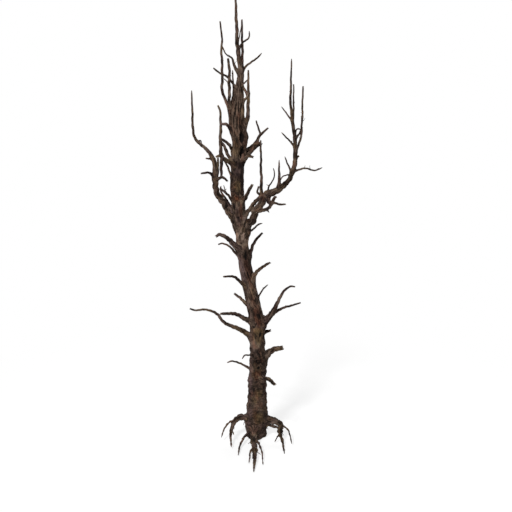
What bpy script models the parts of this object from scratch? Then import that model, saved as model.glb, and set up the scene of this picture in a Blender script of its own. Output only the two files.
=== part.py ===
"""A dead, leafless tree, 10 m tall, rooted in level ground.

Lengths are metres, +Z is up, the trunk's foot is centred on the origin and the ground is z = 0.
A bearing is a plan angle in degrees: 0 is +X, 90 is +Y.

The trunk is a table of heights. Every other limb grows by one rule. It leaves the middle of what
carries it, at a height up the trunk or at a distance along another limb, and goes on in runs.
A run is a length and a climb in degrees, or a length, a climb and a new bearing. The path is
rounded at its corners, made a little crooked, and tapers from its girth at the foot to its girth
at the tip. A girth is a diameter.

Each limb is one solid, cut GAP clear of what carries it. Its own twigs are fused to it.
"""

import math
import random
from collections import namedtuple

import bmesh
import bpy
from mathutils import Matrix, Vector

GAP = 0.0004  # between one solid and the next
TRUNK_SIDES = 36
BOUGH_SIDES = 8
LIMB_SIDES = 7
TWIG_SIDES = 5
TRUNK_STEP = 0.075  # between the trunk's rings, and twice that above its waves of bark
RING_PITCH = 2.2  # girths between a limb's rings
RING_LEAST = 0.13
COLLAR = 0.45  # how much a limb swells where it leaves what carries it
FOOT_SHARE = 0.8  # and the most that its foot takes of that one's girth
CROOK = (0.15, 0.30, 0.08)  # a limb's wander along X, Y and Z, in girths
WAVE = 0.45  # and the length of its waves
CALM = 1 / 3  # the share of a limb, at both of its ends, over which the wander dies away
BEND = 0.16  # a corner of a limb is eased over this much of both its runs
BEND_SHARE = 0.45  # or over this share of a run, if that is less
BEND_POINTS = 4
STRAIGHT = 0.7  # girths that a limb on its carrier's tip goes straight on for

# The trunk's height, how far its middle stands off +X and +Y of the foot, and its girth.
TRUNK = (
    (0.00, -0.02, 0.00, 0.40),
    (0.35, -0.01, 0.00, 0.48),
    (0.95, 0.00, 0.01, 0.43),
    (1.35, 0.01, 0.02, 0.395),
    (1.75, 0.01, 0.02, 0.35),
    (2.45, 0.01, 0.03, 0.33),
    (2.85, 0.02, 0.02, 0.34),
    (3.40, -0.10, 0.00, 0.33),
    (3.90, -0.20, -0.03, 0.30),
    (4.35, -0.29, -0.03, 0.27),
    (4.85, -0.34, 0.00, 0.25),
    (5.40, -0.40, 0.03, 0.29),
    (6.00, -0.45, 0.05, 0.28),
    (6.50, -0.43, 0.04, 0.26),
    (7.00, -0.395, 0.01, 0.25),
    (7.35, -0.435, -0.02, 0.34),
    (7.70, -0.445, -0.02, 0.31),
    (7.95, -0.40, -0.02, 0.22),
    (8.20, -0.365, -0.01, 0.14),
    (8.50, -0.362, 0.00, 0.095),
)
ROOT_BEARINGS = (188, 225, 268, 352, 112, 60)
FLUTES = ((2, 0.9, 0.035), (5, -1.3, 0.035), (8, 2.1, 0.025))  # round the trunk: count, twist per metre, depth
# Waves of thick bark, strong at the foot: count round the trunk, radians per metre, phase, depth.
WAVES = ((5, 18, 0.4, 0.008), (7, -22, 2.1, 0.007), (3, 25, 4.0, 0.006), (9, 13, 1.2, 0.005))
WAVES_TOP = 2.3  # they fade here
WAVES_FADE = 0.3
WAVES_LEFT = 0.3  # to this share
BUTTRESS = 0.10  # how far the foot swells toward each root, in its own radius
BUTTRESS_HEIGHT = 0.32
BUTTRESS_SPAN = 0.30
FACING = 6  # how narrow a buttress or burl is round the trunk
# Lumps on the trunk: height, bearing, how far they stand out and how tall they are.
BURLS = ((7.03, 340, 0.075, 0.16), (2.35, 5, 0.02, 0.15), (1.78, 10, 0.03, 0.16), (1.45, 185, 0.03, 0.12))
REACH = 3.0  # farther from the trunk than any root

BARK = (0.105, 0.085, 0.070)
GREY_WOOD = (0.150, 0.130, 0.110)
RED_WOOD = (0.125, 0.085, 0.065)
MOSSY_BARK = (0.110, 0.098, 0.066)
ROUGHNESS = 0.85
CREASE = 50  # degrees between faces that shade apart

ON_TIP = "tip"  # in place of a limb's at: it goes on from its carrier's tip

Limb = namedtuple("Limb", "on at bearing girth runs sides twigs meets")


def limb(on, at, bearing, girth, runs, sides=LIMB_SIDES, twigs=(), meets=()):
    """A limb carried by on, with its own twigs, cut clear of the limbs that it meets."""
    return Limb(on, at, bearing, girth, runs, sides, twigs, meets)


def bough(*where, **rest):
    return limb(*where, sides=BOUGH_SIDES, **rest)


def slim(*where, **rest):
    return limb(*where, sides=TWIG_SIDES, **rest)


def twig(at, bearing, girth, runs, on=None):
    """A side twig fused to a limb. It leaves that limb, or the one named by on."""
    return Limb(on, at, bearing, girth, runs, TWIG_SIDES, (), ())


ROOTS = {
    "root_left": limb(
        "trunk", 0.40, 188, (0.16, 0.13, 0.10, 0.055, 0.03),
        ((0.40, 18), (0.07, -15), (0.19, -46, 202), (0.26, -38, 256), (0.36, -24, 275)),
        twigs=(
            twig(0.46, 188, (0.05, 0.03), ((0.26, -22), (0.25, -48, 225), (0.12, -50, 250))),
            twig(0.66, 260, (0.03, 0.02), ((0.14, -30), (0.14, -45, 300))),
        ),
    ),
    "root_front_left": limb(
        "trunk", 0.15, 227, (0.08, 0.05, 0.03), ((0.37, 2), (0.30, -13, 245), (0.42, -9, 265)),
    ),
    "root_front": limb(
        "trunk", 0.36, 259, (0.17, 0.14, 0.12, 0.10, 0.07, 0.02),
        ((0.45, -25), (0.50, -6, 275), (0.79, -6, 268)),
        twigs=(
            twig(0.80, 240, (0.05, 0.025), ((0.20, -5), (0.37, -13, 266))),
            twig(0.50, 300, (0.055, 0.02), ((0.24, 0), (0.35, -8, 282), (0.40, -12, 272))),
        ),
    ),
    "root_right": limb(
        "trunk", 0.43, 352, (0.17, 0.14, 0.11, 0.05, 0.03),
        ((0.43, 2), (0.20, -28, 340), (0.21, -47, 252), (0.30, -24, 284), (0.33, -12, 274)),
        twigs=(
            twig(0.60, 338, (0.045, 0.025), ((0.22, -20), (0.38, -33, 281))),
            twig(0.80, 300, (0.04, 0.02), ((0.26, -50),)),
            twig(0.78, 225, (0.035, 0.02), ((0.26, -45),)),
            twig(0.33, 350, (0.08, 0.05), ((0.40, -6), (0.24, -4, 340)), on="trunk"),
        ),
    ),
    "root_back_left": limb(
        "trunk", 0.34, 112, (0.14, 0.09, 0.04), ((0.38, -4), (0.22, -35, 105), (0.32, -28, 98)),
        twigs=(twig(0.45, 80, (0.04, 0.02), ((0.18, -20), (0.26, -44, 95))),),
    ),
    "root_back_right": limb(
        "trunk", 0.32, 60, (0.13, 0.08, 0.04), ((0.37, -2), (0.20, -32, 75), (0.36, -24, 88)),
    ),
}

BOUGHS = {
    "leader": bough(
        "trunk", ON_TIP, 180, (0.09, 0.072, 0.06, 0.035), ((0.40, 82), (0.60, 88.5), (0.50, 88)),
        twigs=(
            twig(0.46, 330, (0.022, 0.02), ((0.55, 78),)),
            twig(
                0.31, 320, (0.045, 0.04, 0.026), ((0.22, 77), (0.28, 24), (0.13, 92)),
            ),
        ),
    ),
    "bough_left_lower": bough(
        "trunk", 5.03, 152, (0.14, 0.13, 0.115), ((1.11, 53.1), (0.43, 92)),
        twigs=(
            twig(1.39, 215, (0.055, 0.04), ((0.20, 42), (0.20, -5))),
            twig(1.33, 330, (0.067, 0.045), ((0.23, 22), (0.14, -38))),
            twig(1.31, 310, (0.055, 0.045), ((0.25, 60), (0.30, 92))),
        ),
    ),
    "bough_left_upper": bough(
        "bough_left_lower", ON_TIP, 152, (0.113, 0.075, 0.055, 0.048, 0.03),
        ((0.18, 75), (0.18, 52), (0.38, 36), (0.17, 52), (0.96, 89.2)),
        twigs=(
            twig(0.24, 205, (0.04, 0.036), ((0.17, 10),)),
            twig(0.79, 60, (0.034, 0.022), ((0.12, 18), (0.10, -68))),
        ),
    ),
    "bough_right_lower": bough(
        "trunk", 4.80, 328, (0.17, 0.15, 0.14), ((0.56, 64.5), (0.63, 56.5)),
        twigs=(
            twig(0.22, 330, (0.05, 0.03), ((0.14, 25), (0.26, 43), (0.09, 15))),
        ),
    ),
    "bough_right_middle": bough(
        "bough_right_lower", ON_TIP, 328, (0.138, 0.14, 0.11, 0.09, 0.085),
        ((0.36, 21), (0.34, 48), (0.25, 69)),
        twigs=(
            twig(0.10, 300, (0.13, 0.08, 0.05), ((0.16, -68), (0.15, -9), (0.18, 54), (0.05, 16))),
            twig(0.13, 40, (0.037, 0.021), ((0.15, 84), (0.21, 46), (0.13, 74), (0.12, 112))),
            twig(0.90, 150, (0.042, 0.025), ((0.37, 64),)),
            twig(0.84, 215, (0.028, 0.025), ((0.08, 20), (0.15, -11), (0.11, -62))),
        ),
    ),
    "bough_right_upper": bough(
        "bough_right_middle", ON_TIP, 328, (0.09, 0.08, 0.062, 0.052, 0.04, 0.026),
        ((0.45, 89.3), (0.78, 99.5), (0.90, 89)),
        twigs=(
            twig(0.43, 205, (0.04, 0.025), ((0.43, 44),)),
            twig(0.96, 150, (0.036, 0.023), ((0.37, 48),)),
            twig(0.19, 10, (0.042, 0.036), ((0.09, 33),)),
        ),
    ),
    "bough_right_strand": bough(
        "trunk", 5.05, 328, (0.09, 0.08), ((0.585, 66.2), (0.40, 40.5)), meets=("bough_right_lower",),
    ),
    "bough_crown_right": bough(
        "trunk", 6.55, 15, (0.18, 0.145, 0.065, 0.038), ((0.57, 43), (0.21, 65), (0.23, 39)),
        twigs=(
            twig(0.48, 12, (0.10, 0.08), ((0.17, 22),)),
            twig(0.79, 165, (0.045, 0.032), ((0.31, 72),)),
        ),
    ),
    "bough_back_upper": bough(
        "trunk", 5.25, 92, (0.12, 0.08, 0.05, 0.03), ((0.55, 50), (0.50, 62), (0.70, 78), (0.90, 88)),
        twigs=(
            twig(0.80, 78, (0.045, 0.025), ((0.30, 50), (0.35, 80))),
            twig(1.30, 112, (0.04, 0.022), ((0.25, 45), (0.40, 75))),
            twig(1.85, 75, (0.032, 0.02), ((0.40, 65),)),
        ),
    ),
    "bough_back_lower": bough(
        "trunk", 3.35, 110, (0.09, 0.06, 0.035), ((0.45, 35), (0.40, 50), (0.35, 62)),
        twigs=(twig(0.70, 80, (0.035, 0.022), ((0.32, 30),)),),
    ),
}

SHOOTS = {
    "stem_left": limb(
        "trunk", 6.45, 215, (0.095, 0.075, 0.06, 0.04), ((0.50, 30), (0.95, 91), (0.13, 62)),
        twigs=(
            twig(0.50, 215, (0.075, 0.055), ((0.44, -88),)),
            twig(0.50, 205, (0.05, 0.045), ((0.12, -12),)),
            twig(7.02, 215, (0.08, 0.055), ((0.47, 51), (0.15, 2)), on="trunk"),
            twig(6.62, 215, (0.07, 0.055), ((0.48, 54), (0.16, 23)), on="trunk"),
            twig(6.30, 215, (0.085, 0.055), ((0.71, 62), (0.13, 44)), on="trunk"),
            twig(5.99, 215, (0.05, 0.035), ((0.69, 63), (0.14, 38)), on="trunk"),
        ),
    ),
    "shoot_crown_left": limb(
        "trunk", 7.28, 165, (0.068, 0.06, 0.05, 0.032),
        ((0.39, 64), (0.53, 70), (0.19, 100), (0.62, 88), (0.18, 97), (0.36, 83.5)),
    ),
    "shoot_crown_front": limb(
        "trunk", 7.41, 222, (0.07, 0.062, 0.05), ((0.50, 64.5), (0.59, 92.5), (0.27, 82)),
        twigs=(twig(0.86, 150, (0.022, 0.018), ((0.16, 39),)),),
    ),
    "shoot_crown_back": limb("trunk", 7.44, 112, (0.055, 0.045, 0.028), ((0.39, 64), (0.70, 85))),
    "shoot_crown_right": limb(
        "trunk", 6.97, 335, (0.09, 0.08, 0.06, 0.038), ((0.38, 64), (0.30, 76), (0.88, 90)),
        twigs=(
            twig(7.60, 340, (0.05, 0.045), ((0.48, 55),), on="trunk"),
            twig(1.00, 155, (0.055, 0.05), ((0.28, 63),)),
            twig(8.12, 335, (0.035, 0.03), ((0.26, 43),), on="trunk"),
        ),
    ),
    "shoot_crown_twin": limb(
        "trunk", 8.05, 25, (0.065, 0.055, 0.05, 0.036), ((0.34, 75), (1.13, 90.6)), meets=("leader",),
        twigs=(twig(0.42, 20, (0.05, 0.03), ((0.14, 60), (0.34, 33), (0.10, 48))),),
    ),
    "shoot_right_inner": limb(
        "bough_right_strand", 0.93, 0, (0.075, 0.06, 0.045, 0.038), ((0.07, 60), (1.17, 91)),
        meets=("bough_right_lower", "bough_right_middle"),
        twigs=(twig(0.08, 190, (0.045, 0.034), ((0.10, 25), (0.14, 100))),),
    ),
    "shoot_right_middle": limb("bough_right_middle", 0.41, 310, (0.075, 0.05, 0.026), ((0.60, 91),)),
}

BRANCHES = {
    "branch_left_1": limb("trunk", 4.53, 205, (0.12, 0.095, 0.062), ((0.62, 43.5), (0.13, 24), (0.08, -28))),
    "branch_left_2": limb("trunk", 4.27, 150, (0.07, 0.05, 0.032), ((0.54, 43), (0.22, 12), (0.10, -24))),
    "branch_left_3": limb("trunk", 3.58, 218, (0.085, 0.065, 0.038), ((0.66, 47), (0.31, 7))),
    "branch_left_4": limb("trunk", 3.15, 145, (0.08, 0.055), ((0.65, 28),)),
    "branch_left_5": limb("trunk", 2.80, 210, (0.12, 0.085, 0.055), ((0.72, 33), (0.34, 7))),
    "branch_left_6": limb(
        "trunk", 2.37, 163, (0.125, 0.10, 0.072, 0.052, 0.04),
        ((0.49, 36), (0.39, 11), (0.33, 50), (0.27, 18), (0.30, -13), (0.13, 15)),
    ),
    "branch_left_7": limb("trunk", 2.05, 232, (0.042, 0.03), ((0.51, 19), (0.10, -40))),
    "branch_left_8": limb("trunk", 1.60, 150, (0.065, 0.032), ((0.48, 20), (0.27, 1), (0.12, -31))),
    "branch_right_1": limb("trunk", 4.14, 32, (0.085, 0.07, 0.048), ((0.68, 71), (0.25, 36))),
    "branch_right_2": limb("trunk", 3.76, 325, (0.09, 0.072, 0.048), ((0.51, 60), (0.35, 31))),
    "branch_right_3": limb("trunk", 3.24, 40, (0.045, 0.03), ((0.46, 57), (0.17, 24))),
    "branch_right_4": limb(
        "trunk", 2.74, 342, (0.165, 0.11, 0.065, 0.035), ((0.47, 46), (0.67, 65), (0.21, 37), (0.09, -6)),
        twigs=(twig(0.50, 15, (0.065, 0.036), ((0.32, 23), (0.40, 11))),),
    ),
    "branch_right_5": limb("trunk", 1.82, 12, (0.20, 0.13, 0.11, 0.105), ((0.49, 45), (0.24, 7))),
    "branch_right_6": limb("trunk", 1.49, 305, (0.09, 0.075), ((0.42, 20), (0.28, -12))),
    "branch_right_stub": slim("trunk", 2.62, 5, (0.075, 0.058), ((0.21, 0), (0.09, 25))),
    "branch_back": limb("trunk", 1.90, 88, (0.08, 0.05, 0.035), ((0.35, 25), (0.32, 38))),
    "snag_right_lower": limb("trunk", 5.52, 320, (0.082, 0.066), ((0.68, 55),)),
    "snag_right_upper": limb(
        "trunk", 6.48, 340, (0.085, 0.055), ((0.34, 42), (0.11, -16)), meets=("bough_crown_right",),
    ),
}

TWIG_MASSES = {
    "twigs_crown_left": slim(
        "trunk", 8.40, 200, (0.065, 0.055, 0.028, 0.026), ((0.20, 52), (0.20, 76), (0.15, 22), (0.18, 66)),
        meets=("leader",),
    ),
    "twigs_crown_crook": slim(
        "trunk", 8.05, 195, (0.05, 0.034), ((0.41, 53), (0.16, 15), (0.18, 39)),
    ),
    "twigs_left_low": slim(
        "trunk", 5.40, 152, (0.065, 0.045), ((0.53, 56), (0.20, 28)), meets=("bough_left_lower",),
        twigs=(
            twig(0.58, 172, (0.025, 0.018), ((0.16, 78),)),
            twig(5.10, 152, (0.10, 0.06, 0.032), ((0.60, 60), (0.34, 52), (0.10, 95)), on="trunk"),
        ),
    ),
    "twigs_right_low": slim(
        "bough_right_lower", 0.81, 312, (0.08, 0.07, 0.05, 0.034),
        ((0.20, 4), (0.26, 20), (0.22, 42), (0.16, -10), (0.18, 10)),
        twigs=(twig(0.38, 340, (0.032, 0.026), ((0.08, -50),)),),
    ),
    "twigs_right_side": slim(
        "bough_right_middle", 0.93, 340, (0.044, 0.026), ((0.31, 20), (0.19, -22), (0.19, 25)),
        meets=("bough_right_upper",),
    ),
    "twigs_right_outer": slim(
        "bough_right_upper", 0.28, 300, (0.048, 0.04, 0.033), ((0.44, 59), (0.99, 88.3)),
        twigs=(
            twig(0.56, 300, (0.042, 0.038), ((0.33, 45),), on="bough_right_upper"),
            twig(0.64, 300, (0.032, 0.028), ((0.19, 66), (0.17, -6)), on="bough_right_upper"),
            twig(0.75, 330, (0.03, 0.022), ((0.10, 75),)),
        ),
    ),
    "twigs_right_top": slim(
        "bough_right_upper", 0.86, 85, (0.042, 0.035, 0.025), ((0.11, 50), (0.74, 90)),
    ),
}

GROUPS = (
    (BOUGHS, BARK),
    (SHOOTS, GREY_WOOD),
    (BRANCHES, RED_WOOD),
    (TWIG_MASSES, GREY_WOOD),
    (ROOTS, MOSSY_BARK),
)
LIMBS = {name: spec for limbs, _ in GROUPS for name, spec in limbs.items()}


def heading(climb, bearing):
    """The unit vector at a climb above level, on a bearing."""
    climb = math.radians(climb)
    bearing = math.radians(bearing)
    flat = math.cos(climb)
    return Vector((flat * math.cos(bearing), flat * math.sin(bearing), math.sin(climb)))


def spread(values, share):
    """The value at a share, from 0 to 1, of the way through evenly spaced values."""
    place = share * (len(values) - 1)
    index = min(int(place), len(values) - 2)
    return values[index] + (values[index + 1] - values[index]) * (place - index)


def rounded(corners, step):
    """Evenly spaced points along the corners, each corner eased over BEND at most on both sides."""
    eased = [corners[0]]
    for before, corner, after in zip(corners, corners[1:], corners[2:]):
        shorter = min((corner - before).length, (after - corner).length)
        ease = min(BEND, BEND_SHARE * shorter)
        start = corner + (before - corner).normalized() * ease
        end = corner + (after - corner).normalized() * ease
        for turn in range(BEND_POINTS + 1):
            t = turn / BEND_POINTS
            eased.append(start * (1 - t) ** 2 + corner * (2 * t * (1 - t)) + end * t**2)
    eased.append(corners[-1])
    run = distances(eased)
    count = max(2, round(run[-1] / step))
    points = []
    upper = 1
    for index in range(count + 1):
        way = run[-1] * index / count
        while run[upper] < way and upper < len(run) - 1:
            upper += 1
        share = (way - run[upper - 1]) / (run[upper] - run[upper - 1])
        points.append(eased[upper - 1].lerp(eased[upper], share))
    return points


def distances(points):
    run = [0.0]
    for a, b in zip(points, points[1:]):
        run.append(run[-1] + (b - a).length)
    return run


def crooked(points, name, girth):
    """The path with a sideways wander whose phases its name picks. Both of its ends stay put."""
    dice = random.Random(name)
    phases = [dice.uniform(0, 2 * math.pi) for _ in CROOK]
    run = distances(points)
    moved = []
    for point, way in zip(points, run):
        fade = min(1, way / run[-1] / CALM, (1 - way / run[-1]) / CALM)
        turn = 2 * math.pi * way / WAVE
        wander = Vector([share * math.sin(turn + phase) for share, phase in zip(CROOK, phases)])
        moved.append(point + wander * (fade * girth))
    return moved


def trunk_path():
    """(middle, radius) up the trunk."""
    heights = [row[0] for row in TRUNK]
    middles = [Vector((row[1], row[2], row[0])) for row in TRUNK]
    path = []
    for index, point in enumerate(rounded(middles, TRUNK_STEP)):
        if index % 2 and point.z > WAVES_TOP + WAVES_FADE:
            continue
        upper = next((i for i, height in enumerate(heights) if height > point.z), len(TRUNK) - 1)
        low, high = TRUNK[upper - 1], TRUNK[upper]
        share = (point.z - low[0]) / (high[0] - low[0])
        path.append((point, (low[3] + (high[3] - low[3]) * share) / 2))
    return path


def along(path, distance):
    """(middle, radius) of a path at a distance from its start."""
    for (a, wide), (b, narrow) in zip(path, path[1:]):
        length = (b - a).length
        if distance <= length:
            share = distance / length
            return a.lerp(b, share), wide + (narrow - wide) * share
        distance -= length
    return path[-1]


def up_trunk(path, height):
    """(middle, radius) of the trunk at a height."""
    for (a, wide), (b, narrow) in zip(path, path[1:]):
        if b.z >= height:
            share = (height - a.z) / (b.z - a.z)
            return a.lerp(b, share), wide + (narrow - wide) * share
    return path[-1]


def end_of(path):
    """The way a path runs at its tip."""
    return (path[-1][0] - path[-2][0]).normalized()


def limb_path(name, spec, carrier, paths):
    """(middle, radius) along a limb that leaves its carrier."""
    carrier_path = paths[carrier]
    if spec.at == ON_TIP:
        last = end_of(carrier_path)
        start = carrier_path[-1][0] + last * GAP
        corners = [start, start + last * (STRAIGHT * spec.girth[0])]
        swell = 0
    else:
        place = up_trunk if carrier == "trunk" else along
        start, carrier_radius = place(carrier_path, spec.at)
        corners = [start]
        swell = max(0, min(COLLAR, FOOT_SHARE * 2 * carrier_radius / spec.girth[0] - 1))
    bearing = spec.bearing
    for length, climb, *turned in spec.runs:
        bearing = turned[0] if turned else bearing
        corners.append(corners[-1] + heading(climb, bearing) * length)
    step = max(RING_LEAST, RING_PITCH * spec.girth[-1])
    points = crooked(rounded(corners, step), name, spec.girth[-1])
    run = distances(points)
    path = []
    for point, way in zip(points, run):
        girth = spread(spec.girth, way / run[-1])
        collar = 1 + swell * math.exp(-max(0, way - spec.girth[0]) / spec.girth[0])
        path.append((point, girth / 2 * collar))
    return path


def facing(angle, bearing):
    """1 where the angle is the bearing's, falling off to each side."""
    return math.exp(FACING * (math.cos(angle - math.radians(bearing)) - 1))


def rise(height, middle, span):
    """1 at the middle height, falling off above and below."""
    return math.exp(-(((height - middle) / span) ** 2))


def trunk_outline(radius, height, angle):
    """The trunk's radius at an angle: fluted and wavy, with a buttress to each root, and its burls."""
    flutes = sum(depth * math.cos(count * angle + twist * height) for count, twist, depth in FLUTES)
    toward = sum(facing(angle, bearing) for bearing in ROOT_BEARINGS)
    buttress = BUTTRESS * rise(height, BUTTRESS_HEIGHT, BUTTRESS_SPAN) * toward
    lumps = sum(
        out * facing(angle, bearing) * rise(height, middle, span)
        for middle, bearing, out, span in BURLS
    )
    waves = sum(
        depth * math.cos(count * angle + turn * height + phase) for count, turn, phase, depth in WAVES
    )
    fade = 1 / (1 + math.exp((height - WAVES_TOP) / WAVES_FADE * 4))
    return radius * (1 + flutes + buttress) + lumps + waves * (WAVES_LEFT + (1 - WAVES_LEFT) * fade)


def tube(name, path, sides, grow=0, first=None, outline=None):
    """A closed tube round a path. With grow it is that much fatter, and longer at both ends.

    Its first ring is square to first, or else to the start of the path.
    """
    mesh = bmesh.new()
    points = [point for point, _ in path]
    first = first or (points[1] - points[0]).normalized()
    points[0] = points[0] - first * grow
    points[-1] = points[-1] + (points[-1] - points[-2]).normalized() * grow
    across = Vector((0, 1, 0)) if abs(first.x) > 0.9 else Vector((1, 0, 0))
    before = first
    rings = []
    for index, point in enumerate(points):
        ahead = first
        if index:
            ahead = (points[min(index + 1, len(points) - 1)] - points[index - 1]).normalized()
        across.rotate(before.rotation_difference(ahead))
        across = (across - ahead * across.dot(ahead)).normalized()
        upright = ahead.cross(across)
        before = ahead
        ring = []
        for side in range(sides):
            angle = 2 * math.pi * side / sides
            radius = path[index][1]
            if outline:
                radius = outline(radius, path[index][0].z, angle)
            outward = across * math.cos(angle) + upright * math.sin(angle)
            ring.append(mesh.verts.new(point + outward * (radius + grow)))
        rings.append(ring)
    for low, high in zip(rings, rings[1:]):
        for side in range(sides):
            after = (side + 1) % sides
            mesh.faces.new((low[side], low[after], high[after]))
            mesh.faces.new((low[side], high[after], high[side]))
    mesh.faces.new(rings[0][::-1])
    mesh.faces.new(rings[-1])
    data = bpy.data.meshes.new(name)
    mesh.to_mesh(data)
    mesh.free()
    piece = bpy.data.objects.new(name, data)
    bpy.context.scene.collection.objects.link(piece)
    return piece


def boolean(piece, operation, others):
    """Joins the pieces others to piece, or cuts them from it, and removes them."""
    group = bpy.data.collections.new(operation)
    bpy.context.scene.collection.children.link(group)
    for other in others:
        bpy.context.scene.collection.objects.unlink(other)
        group.objects.link(other)
    modifier = piece.modifiers.new(operation, "BOOLEAN")
    modifier.operation = operation
    modifier.operand_type = "COLLECTION"
    modifier.collection = group
    modifier.solver = "EXACT"
    modifier.use_self = operation == "UNION"
    graph = bpy.context.evaluated_depsgraph_get()
    joined = bpy.data.meshes.new_from_object(piece.evaluated_get(graph))
    piece.modifiers.clear()
    piece.data = joined
    for other in others:
        bpy.data.objects.remove(other)
    bpy.data.collections.remove(group)


def wood(name, colour):
    material = bpy.data.materials.new(name)
    material.use_nodes = True
    shader = material.node_tree.nodes["Principled BSDF"]
    shader.inputs["Base Color"].default_value = (*colour, 1)
    shader.inputs["Roughness"].default_value = ROUGHNESS
    shader.inputs["Metallic"].default_value = 0
    return material


def limb_tube(name, paths, grow=0):
    """The tube of a limb without its twigs, or with grow what its neighbours are cut with."""
    if name == "trunk":
        return tube(name, paths[name], TRUNK_SIDES, grow, Vector((0, 0, 1)), trunk_outline)
    spec = LIMBS[name]
    first = None
    if spec.at == ON_TIP:
        first = end_of(paths[spec.on])
    return tube(name, paths[name], spec.sides, grow, first)


def below_ground():
    """A slab under z = 0, to cut the root tips level with the ground."""
    mesh = bmesh.new()
    bmesh.ops.create_cube(mesh, size=2 * REACH)
    bmesh.ops.translate(mesh, verts=mesh.verts, vec=(0, 0, -REACH))
    data = bpy.data.meshes.new("below_ground")
    mesh.to_mesh(data)
    mesh.free()
    slab = bpy.data.objects.new("below_ground", data)
    bpy.context.scene.collection.objects.link(slab)
    return slab


def finish(piece, foot, colour):
    """The piece's origin goes to its foot, and it gets its wood and smooth shading."""
    piece.data.transform(Matrix.Translation(-foot))
    piece.location = foot
    piece.data.materials.clear()
    piece.data.materials.append(wood(piece.name, colour))
    piece.data.shade_smooth()
    piece.data.set_sharp_from_angle(angle=math.radians(CREASE))


def twig_tubes(name, spec, paths):
    """Tubes for a limb's side twigs."""
    tubes = []
    for number, side in enumerate(spec.twigs):
        path = limb_path(f"{name}_{number}", side, side.on or name, paths)
        tubes.append(tube(f"{name}_{number}", path, side.sides))
    return tubes


def grow_limb(name, spec, colour, paths):
    """One limb with its twigs fused on, cut clear of what carries it."""
    paths[name] = limb_path(name, spec, spec.on, paths)
    piece = limb_tube(name, paths)
    twigs = twig_tubes(name, spec, paths)
    if twigs:
        boolean(piece, "UNION", twigs)
    touched = {*spec.meets, *(side.on for side in spec.twigs if side.on)}
    if spec.at != ON_TIP:
        touched.add(spec.on)
    if name in ROOTS:
        boolean(piece, "DIFFERENCE", [below_ground()])
    for other in sorted(touched):
        boolean(piece, "DIFFERENCE", [limb_tube(other, paths, GAP)])
    foot, _ = paths[name][0]
    finish(piece, foot, colour)
    return piece


def main():
    for old in list(bpy.data.objects):
        bpy.data.objects.remove(old)
    paths = {"trunk": trunk_path()}
    trunk = limb_tube("trunk", paths)
    finish(trunk, Vector((0, 0, 0)), BARK)
    for limbs, colour in GROUPS:
        for name, spec in limbs.items():
            grow_limb(name, spec, colour, paths).parent = trunk


main()
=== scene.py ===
"""The looks of a dead, leafless tree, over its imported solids.

Every limb grows along the same path as its solid, by the same tables and the same rule, as a fine
tube whose surface carries the bark. Where one limb leaves another, both flare into one fillet.
Spurs finer than the solids stand on the limbs, and rootlets on the thick roots. Lengths are in
metres. Bearings and climbs are in degrees, other angles in radians.
"""

import itertools
import math
import random
from collections import namedtuple

import bmesh
import bpy
import numpy as np
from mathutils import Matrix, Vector


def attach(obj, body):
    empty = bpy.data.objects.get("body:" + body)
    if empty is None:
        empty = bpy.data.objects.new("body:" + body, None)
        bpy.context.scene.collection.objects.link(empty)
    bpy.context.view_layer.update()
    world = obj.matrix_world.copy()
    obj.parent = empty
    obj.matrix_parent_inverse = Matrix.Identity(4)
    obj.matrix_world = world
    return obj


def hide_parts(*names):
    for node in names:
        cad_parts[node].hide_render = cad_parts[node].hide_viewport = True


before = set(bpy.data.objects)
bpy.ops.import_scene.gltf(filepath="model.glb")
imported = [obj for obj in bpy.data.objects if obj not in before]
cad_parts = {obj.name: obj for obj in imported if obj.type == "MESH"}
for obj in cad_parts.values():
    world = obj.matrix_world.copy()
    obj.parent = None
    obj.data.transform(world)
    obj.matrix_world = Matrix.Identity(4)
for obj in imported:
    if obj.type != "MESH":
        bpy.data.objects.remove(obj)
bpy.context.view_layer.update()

COLLAR = 0.45  # how much a limb swells where it leaves what carries it
FOOT_SHARE = 0.8  # and the most that its foot takes of that one's girth
CROOK = (0.15, 0.30, 0.08)  # a limb's wander along X, Y and Z, in girths
WAVE = 0.45  # and the length of its waves
CALM = 1 / 3  # the share of a limb, at both of its ends, over which the wander dies away
BEND = 0.16  # a corner of a limb is eased over this much of both its runs
BEND_SHARE = 0.45  # or over this share of a run, if that is less
BEND_POINTS = 4
STRAIGHT = 0.7  # girths that a limb on its carrier's tip goes straight on for
RING_PITCH = 2.2  # girths between the rings of a limb's solid
RING_LEAST = 0.13

TRUNK_PITCH = 0.013  # between the trunk's rings here
PITCH = 0.012  # and a limb's
SIDE = 0.009  # between the points of a ring
FEWEST_SIDES = 8
MOST_SIDES = 116
KINK = 0.09  # a limb's short kinks, in girths
KINK_WAVE = 0.17
KINK_SKEW = 0.3  # how much faster the kinks come along Y than X, and along Z than Y
LEAD = 1.2  # girths that a limb on a tip starts back inside its carrier
LEAD_TAPER = 0.12  # how much slimmer it starts there

# The trunk's height, how far its middle stands off +X and +Y of the foot, and its girth.
TRUNK = (
    (0.00, -0.02, 0.00, 0.40),
    (0.35, -0.01, 0.00, 0.48),
    (0.95, 0.00, 0.01, 0.43),
    (1.35, 0.01, 0.02, 0.395),
    (1.75, 0.01, 0.02, 0.35),
    (2.45, 0.01, 0.03, 0.33),
    (2.85, 0.02, 0.02, 0.34),
    (3.40, -0.10, 0.00, 0.33),
    (3.90, -0.20, -0.03, 0.30),
    (4.35, -0.29, -0.03, 0.27),
    (4.85, -0.34, 0.00, 0.25),
    (5.40, -0.40, 0.03, 0.29),
    (6.00, -0.45, 0.05, 0.28),
    (6.50, -0.43, 0.04, 0.26),
    (7.00, -0.395, 0.01, 0.25),
    (7.35, -0.435, -0.02, 0.34),
    (7.70, -0.445, -0.02, 0.31),
    (7.95, -0.40, -0.02, 0.22),
    (8.20, -0.365, -0.01, 0.14),
    (8.50, -0.362, 0.00, 0.095),
)
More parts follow.
